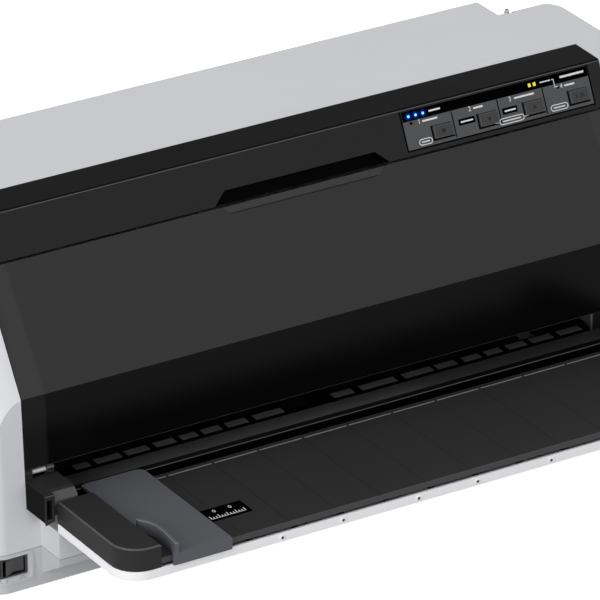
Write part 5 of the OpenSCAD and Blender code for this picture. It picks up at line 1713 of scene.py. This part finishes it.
@dataclass
class FrontTable(Printing):
    """Deck, tray, hinge blocks, edge guide and the scale on the deck."""

    deck_z: float = 55.0
    arm_z: float = 63.5
    arm_in: float = 184.0
    arm_round: float = 1.4
    arm_rim: float = 1.6
    arm_slope: Span = (0.4, 0.9)
    arm_past: float = 2.0
    arm_front: float = 1.5
    deck_round: float = 0.7
    deck_front: float = 0.5
    edge_slope: Span = (0.15, 0.98)
    edge_z: Span = (-0.9, 0.1)
    edge_deep: float = 0.8
    rear_y: float = -10.0
    front_y: float = -95.0
    groove_pitch: float = 30.6
    groove_share: float = 0.74
    groove_half: float = 0.9
    grooves_a_side: int = 5
    rib_end: float = 183.0
    rib_y: Span = (-0.9, -0.1)
    rib_z: Span = (-0.05, 0.28)
    rib_soft: float = 0.12
    rib_least: float = 4.0
    ledge_y: Span = (-0.3, 3.8)
    ledge_z: Span = (-1.5, -0.12)
    ledge_soft: float = 0.35
    ledge_back: float = 0.2
    ledge_slope: Span = (0.1, 0.98)
    fence_z: float = 60.3
    fence_drop: float = 2.8
    fence_x: float = -171.0
    fence_from: float = 1.5
    fence_round: float = 0.5
    fence_level: float = 0.2
    fence_slope: Span = (0.15, 0.95)
    block_y: float = -17.9
    block_x: float = 208.0
    block_side: float = 214.0
    block_round: float = 0.45
    block_lean: Span = (-0.97, -0.2)
    block_slope: Span = (0.25, 0.93)
    rim_z: float = 46.0
    boss_x: tuple[float, ...] = (-104.6, -63.8, -12.8, 27.6, 78.5, 129.0)
    boss_sink: float = 0.1
    boss_sides: int = 20
    boss_radius: float = 1.9
    boss_out: float = 0.45
    hole_radius: float = 0.95
    hole_out: float = 0.5
    scale_x: Span = (-139.0, -110.5)
    scale_y: Span = (-73.0, -58.0)
    scale_z: Span = (-0.1, 0.06)
    scale_margin: float = 3.0
    tick_gaps: int = 12
    tick_group: int = 3
    tick_wide: float = 0.5
    tick_long: float = 3.4
    tick_short: float = 2.0
    tick_up: float = 0.09
    scale_line: float = 0.4
    zero_in: float = 9.0
    zero_down: float = 4.0
    zero_size: float = 3.0

    def scale(self) -> None:
        """Black inset on the deck with a plain scale of ticks."""
        x0, x1 = self.scale_x
        y0, y1 = (y - MID_Y for y in self.scale_y)
        low, high = (self.deck_z + z for z in self.scale_z)
        label = Bench.block("deck_label", (x0, y0, low), (x1, y1, high), 0)
        dress(label, PANEL_BLACK)
        self.hand_over(label, self.body("table_top"), "table_black")
        foot = y0 + self.scale_margin
        wide = x1 - x0 - 2 * self.scale_margin
        marks = []
        for k in range(self.tick_gaps + 1):
            x = x0 + self.scale_margin + k * wide / self.tick_gaps
            tall = self.tick_short if k % self.tick_group else self.tick_long
            marks.append(self.bar(x, foot + tall / 2, self.tick_wide, tall))
        marks.append(self.bar((x0 + x1) / 2, foot, wide, self.scale_line))
        for x in (x0 + self.zero_in, x1 - self.zero_in):
            marks.append(self.number("0", x, y1 - self.zero_down, self.zero_size))
        ticks = Bench.join("deck_scale", marks)
        Bench.settle(ticks, Matrix.Translation((0, 0, (self.deck_z + self.tick_up) * MM)))
        dress(ticks, PRINT_WHITE)
        self.hand_over(ticks, self.body("table_top"))

    def rear_rib(self) -> None:
        """Low rib along the deck's rear edge, broken where the grooves run out, its grey a painted
        highlight.
        """
        y0, y1 = (self.rear_y + y - MID_Y for y in self.rib_y)
        z0, z1 = (self.deck_z + z for z in self.rib_z)
        steps = range(-self.grooves_a_side, self.grooves_a_side)
        grooves = [(i + self.groove_share) * self.groove_pitch for i in steps]
        ends = [-self.rib_end, *grooves, self.rib_end]
        ribs = [
            Bench.block(
                "rib",
                (start + self.groove_half, y0, z0),
                (end - self.groove_half, y1, z1),
                self.rib_soft,
            )
            for start, end in zip(ends, ends[1:])
            if end - start >= self.rib_least
        ]
        rib = Bench.join("deck_rear_rib", ribs)
        # The rib's grey is a painted highlight along the deck's rear edge.
        dress(rib, RIB_HIGHLIGHT)
        self.hand_over(rib, self.body("table_top"), "table_black")

    def rear_ledge(self) -> None:
        """Low step behind the deck's rear edge, with a painted highlight along its own upper edge.
        """
        y0, y1 = (self.rear_y + y - MID_Y for y in self.ledge_y)
        z0, z1 = (self.deck_z + z for z in self.ledge_z)
        ledge = Bench.block(
            "deck_rear_ledge", (-self.rib_end, y0, z0), (self.rib_end, y1, z1), self.ledge_soft
        )
        dress(ledge, TABLE_BLACK)
        # Painted highlight along the step's upper back edge.
        Bench.paint(
            ledge,
            TABLE_HIGHLIGHT,
            lambda middle, normal: normal.y > self.ledge_back
            and within(normal.z, self.ledge_slope),
        )
        self.hand_over(ledge, self.body("table_top"), "table_black")

    def bosses(self) -> None:
        """Small round bosses along the tray's front rim, each with a black disc painted as the
        shade in its hole.
        """
        turn = Matrix.Rotation(math.pi / 2, 4, "X")
        rings, holes = [], []
        for x in self.boss_x:
            spot = Matrix.Translation(place(x, self.front_y + self.boss_sink, self.rim_z))
            for radius, out, store in (
                (self.boss_radius, self.boss_out, rings),
                (self.hole_radius, self.hole_out, holes),
            ):
                ring = Bench.disc("boss", (0, 0, 0), radius, out, self.boss_sides)
                Bench.settle(ring, spot @ turn)
                store.append(ring)
        bosses = Bench.join("tray_bosses", rings)
        # The bosses take the tray's lighter white: painted light.
        dress(bosses, TRAY_WHITE_LIT)
        Bench.smooth(bosses)
        self.hand_over(bosses, self.body("table_tray"), "white_case")
        # The black discs are painted shade for the holes.
        dots = Bench.join("tray_boss_holes", holes)
        dress(dots, HOLE_SHADE)
        self.hand_over(dots, self.body("table_tray"))

    def _block_edges(self, piece: bpy.types.Object) -> None:
        """Rounds the long edges of the hinge blocks.

        Args:
            piece: The blocks' copy.
        """
        Bench.round_edges(
            piece,
            self.block_round,
            lambda middle, way: (abs(way.x) > ALONG or abs(way.z) > ALONG)
            and middle.y < self.block_y
            and abs(middle.x) > self.block_x,
            2,
        )

    def blocks(self) -> None:
        """Hinge blocks with painted highlights on their rounded edges and painted shade on their
        outer sides.
        """
        blocks = self.soften(
            "hinge_blocks",
            "hinge_block_pair",
            TABLE_BLACK,
            "table_black",
            soft=0.3,
            first=self._block_edges,
        )
        # Painted shade: the outer sides take a darker, duller black.
        Bench.paint(
            blocks,
            BLOCK_SIDE_SHADE,
            lambda middle, normal: abs(normal.x) > FACING and abs(middle.x) > self.block_side,
        )
        # Painted highlight on the blocks' rounded edges and knuckle.
        Bench.paint(
            blocks,
            TABLE_HIGHLIGHT,
            lambda middle, normal: within(normal.y, self.block_lean)
            and within(normal.z, self.block_slope),
        )

    def _low_fence(self, piece: bpy.types.Object) -> None:
        """Wears the guide's fence down to a low lip and rounds its edges.

        Args:
            piece: The guide's copy.
        """
        if Bench.pick(
            piece,
            Element.FACE,
            lambda middle, normal: normal.z > FACING and abs(middle.z - self.fence_z) < NEAR,
        ):
            bpy.ops.transform.translate(value=(0, 0, -self.fence_drop * MM))
        Bench.close()
        Bench.round_edges(
            piece,
            self.fence_round,
            lambda middle, way: abs(way.z) < self.fence_level
            and middle.z > self.deck_z + self.fence_from
            and middle.x < self.fence_x,
            3,
        )

    def guide(self) -> None:
        """Sliding guide, its fence worn down to a low lip, with painted highlights along its
        edges.
        """
        guide = self.soften(
            "edge_guide",
            "sliding_guide",
            GUIDE_GREY,
            "guide_grey",
            soft=0.3,
            rim=GUIDE_HIGHLIGHT,
            first=self._low_fence,
        )
        # Painted highlight on the rounded edges of the low fence.
        Bench.paint(
            guide,
            GUIDE_HIGHLIGHT,
            lambda middle, normal: within(normal.z, self.fence_slope)
            and middle.z > self.deck_z + self.fence_from,
        )

    def _deck_edges(self, piece: bpy.types.Object) -> None:
        """Rounds the arms' tops and the deck's front and rear edges.

        Args:
            piece: The deck's copy.
        """
        Bench.round_edges(
            piece,
            self.arm_round,
            lambda middle, way: middle.z > self.arm_z - NEAR and abs(way.z) < LEVEL,
        )
        for y in (self.rear_y, self.front_y):
            Bench.round_edges(
                piece,
                self.deck_round,
                lambda middle, way, y=y: abs(middle.z - self.deck_z) < NEAR / 2
                and abs(middle.y - y) < NEAR / 2
                and abs(way.x) > ALONG,
            )

    def deck(self) -> None:
        """Deck and arms, with painted light on the front between the arms and painted highlights
        along their edges.
        """
        deck = self.soften(
            "table_top",
            "deck_and_arms",
            TABLE_BLACK,
            "table_black",
            soft=0.3,
            first=self._deck_edges,
        )
        for x in (-self.arm_in, self.arm_in):
            Bench.split(deck, (x, 0.0, 0.0), (1.0, 0.0, 0.0))
        # Painted light: the deck's front between the arms takes a lighter copy of the table black.
        Bench.paint(
            deck,
            TABLE_FRONT_LIT,
            lambda middle, normal: middle.y < self.front_y + self.deck_front
            and normal.y < -FACING
            and middle.z < self.deck_z
            and abs(middle.x) < self.arm_in,
        )
        # Painted highlight on the rounded top edges of the arms.
        Bench.paint(
            deck,
            TABLE_HIGHLIGHT,
            lambda middle, normal: self.arm_z - self.arm_rim < middle.z
            and within(normal.z, self.arm_slope)
            and (
                abs(middle.x) > self.arm_in + self.arm_past
                or middle.y < self.front_y + self.arm_front
            ),
        )
        # Painted highlight along the deck's rounded front and rear edges.
        Bench.paint(
            deck,
            TABLE_HIGHLIGHT,
            lambda middle, normal: within(normal.z, self.edge_slope)
            and within(middle.z - self.deck_z, self.edge_z)
            and min(abs(middle.y - self.rear_y), abs(middle.y - self.front_y)) < self.edge_deep,
        )

    def build(self) -> None:
        """Builds the table."""
        self.deck()
        # The tray takes the lighter copy of the case white: painted light.
        self.soften("table_tray", "tray_shell", TRAY_WHITE_LIT, "white_case", soft=0.7)
        self.blocks()
        self.soften("hinge_ears", "hinge_ear_pair", TABLE_BLACK, "table_black", soft=0.3)
        self.guide()
        self.scale()
        self.rear_rib()
        self.rear_ledge()
        self.bosses()


@dataclass
class PaperPath(Assembly):
    """Lip, fingers, bed, rollers and tractors."""

    lip_shade_y: Span = (3.0, 7.4)
    lip_foot_z: float = 54.5
    lip_level: float = 0.3
    comb_foot_z: float = 55.0

    def slot(self) -> None:
        """Lip and fingers of the paper slot, with painted shade at their feet, on the lip's low
        faces and in a band across its top, and a painted highlight on the lip's edges.
        """
        # The lip's softened edges take a painted highlight.
        lip = self.soften(
            "paper_lip", "slot_lip", LIP_GREY, "dark_guide", soft=0.25, rim=LIP_HIGHLIGHT
        )
        for y in self.lip_shade_y:
            Bench.split(lip, (0.0, y, 0.0), (0.0, 1.0, 0.0))
        # Painted shade: a near black band across the lip's top.
        Bench.paint(
            lip,
            LIP_SHADE,
            lambda middle, normal: within(middle.y, self.lip_shade_y) and normal.z > FACING,
        )
        # Painted shade: the lip's low faces and its foot go near black.
        Bench.paint(
            lip,
            SLOT_SHADE,
            lambda middle, normal: normal.z < self.lip_level or middle.z < self.lip_foot_z,
        )
        comb = self.soften("paper_comb", "slot_fingers", COMB_GREY, "dark_guide", soft=0.2)
        # Painted shade: the fingers' feet go near black.
        Bench.paint(comb, SLOT_SHADE, lambda middle, normal: middle.z < self.comb_foot_z)

    def tractors(self) -> None:
        """The two tractors and their lids."""
        for side in ("left", "right"):
            unit, lid = f"tractor_{side}", f"tractor_lid_{side}"
            self.soften(unit, f"{unit}_unit", MECHANISM_BLACK, "mechanism_black", soft=0.4)
            self.soften(lid, f"{unit}_lid", MECHANISM_BLACK, "mechanism_black", soft=0.4)

    def build(self) -> None:
        """Builds the paper path."""
        self.slot()
        self.soften("paper_bed", "bed_plate", BED_BLACK, "mechanism_black", soft=0.3)
        self.coat(ROLLER_RUBBER, "platen", "feed_front", "feed_rear")
        self.coat(GROUND_STEEL, "platen_shaft", "tractor_bar", "guide_shaft")
        self.coat(ZINC, "tractor_shaft")
        self.coat(GEAR_WHITE, "idler_front", "idler_rear", "idler_tractor")
        self.coat(BRASS, "motor_pinion")
        self.tractors()
        self.soften("rear_guide", "rear_paper_guide", LIP_GREY, "dark_guide", soft=0.4)


@dataclass
class Mechanism(Assembly):
    """Frames, carriage, ribbon and drives."""

    def build(self) -> None:
        """Builds the mechanism."""
        self.coat(ZINC, "side_frames", "rear_beam", "motor_bracket", "frame_screws")
        self.coat(MOTOR_PAINT, "feed_motor", "carriage_motor")
        self.soften("carriage", "carriage_shell", MECHANISM_BLACK, "mechanism_black", soft=0.4)
        self.soften("print_head", "head_casting", HEAD_CAST, "head_metal", soft=0.3)
        self.coat(BELT_RUBBER, "drive_belt")
        self.coat(GEAR_WHITE, "pulley_left", "pulley_right")
        self.soften(
            "ribbon_cartridge", "cartridge_shell", MECHANISM_BLACK, "mechanism_black", soft=0.6
        )
        self.coat(RIBBON_CLOTH, "ribbon")
        self.soften("ribbon_knob", "cartridge_knob", MECHANISM_BLACK, "mechanism_black", soft=0.3)
        self.soften("gap_lever", "gap_lever_arm", LEVER_BLUE, "lever_blue", soft=0.5)


@dataclass
class Electronics(Assembly):
    """Boards, inlet and sockets at the rear."""

    def build(self) -> None:
        """Builds the electronics."""
        self.coat(BOARD_GREEN, "main_board", "power_unit")
        self.soften("ac_inlet", "mains_inlet", SWITCH_BLACK, "switch_black", soft=0.4)
        self.soften("data_ports", "interface_shells", PORT_METAL, "port_metal", soft=0.3)


def main() -> None:
    """Builds the scene in order."""
    logging.basicConfig(level=logging.INFO, format="%(message)s")
    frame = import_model()
    Studio().build()
    order: Iterable[type[Assembly]] = (
        Case,
        ControlStrip,
        PowerSwitch,
        FrontCover,
        FrontTable,
        PaperPath,
        Mechanism,
        Electronics,
    )
    for assembly in order:
        log.info("building %s", assembly.__name__)
        assembly(frame).build()
    Bench.deselect()


if __name__ == "__main__":
    main()
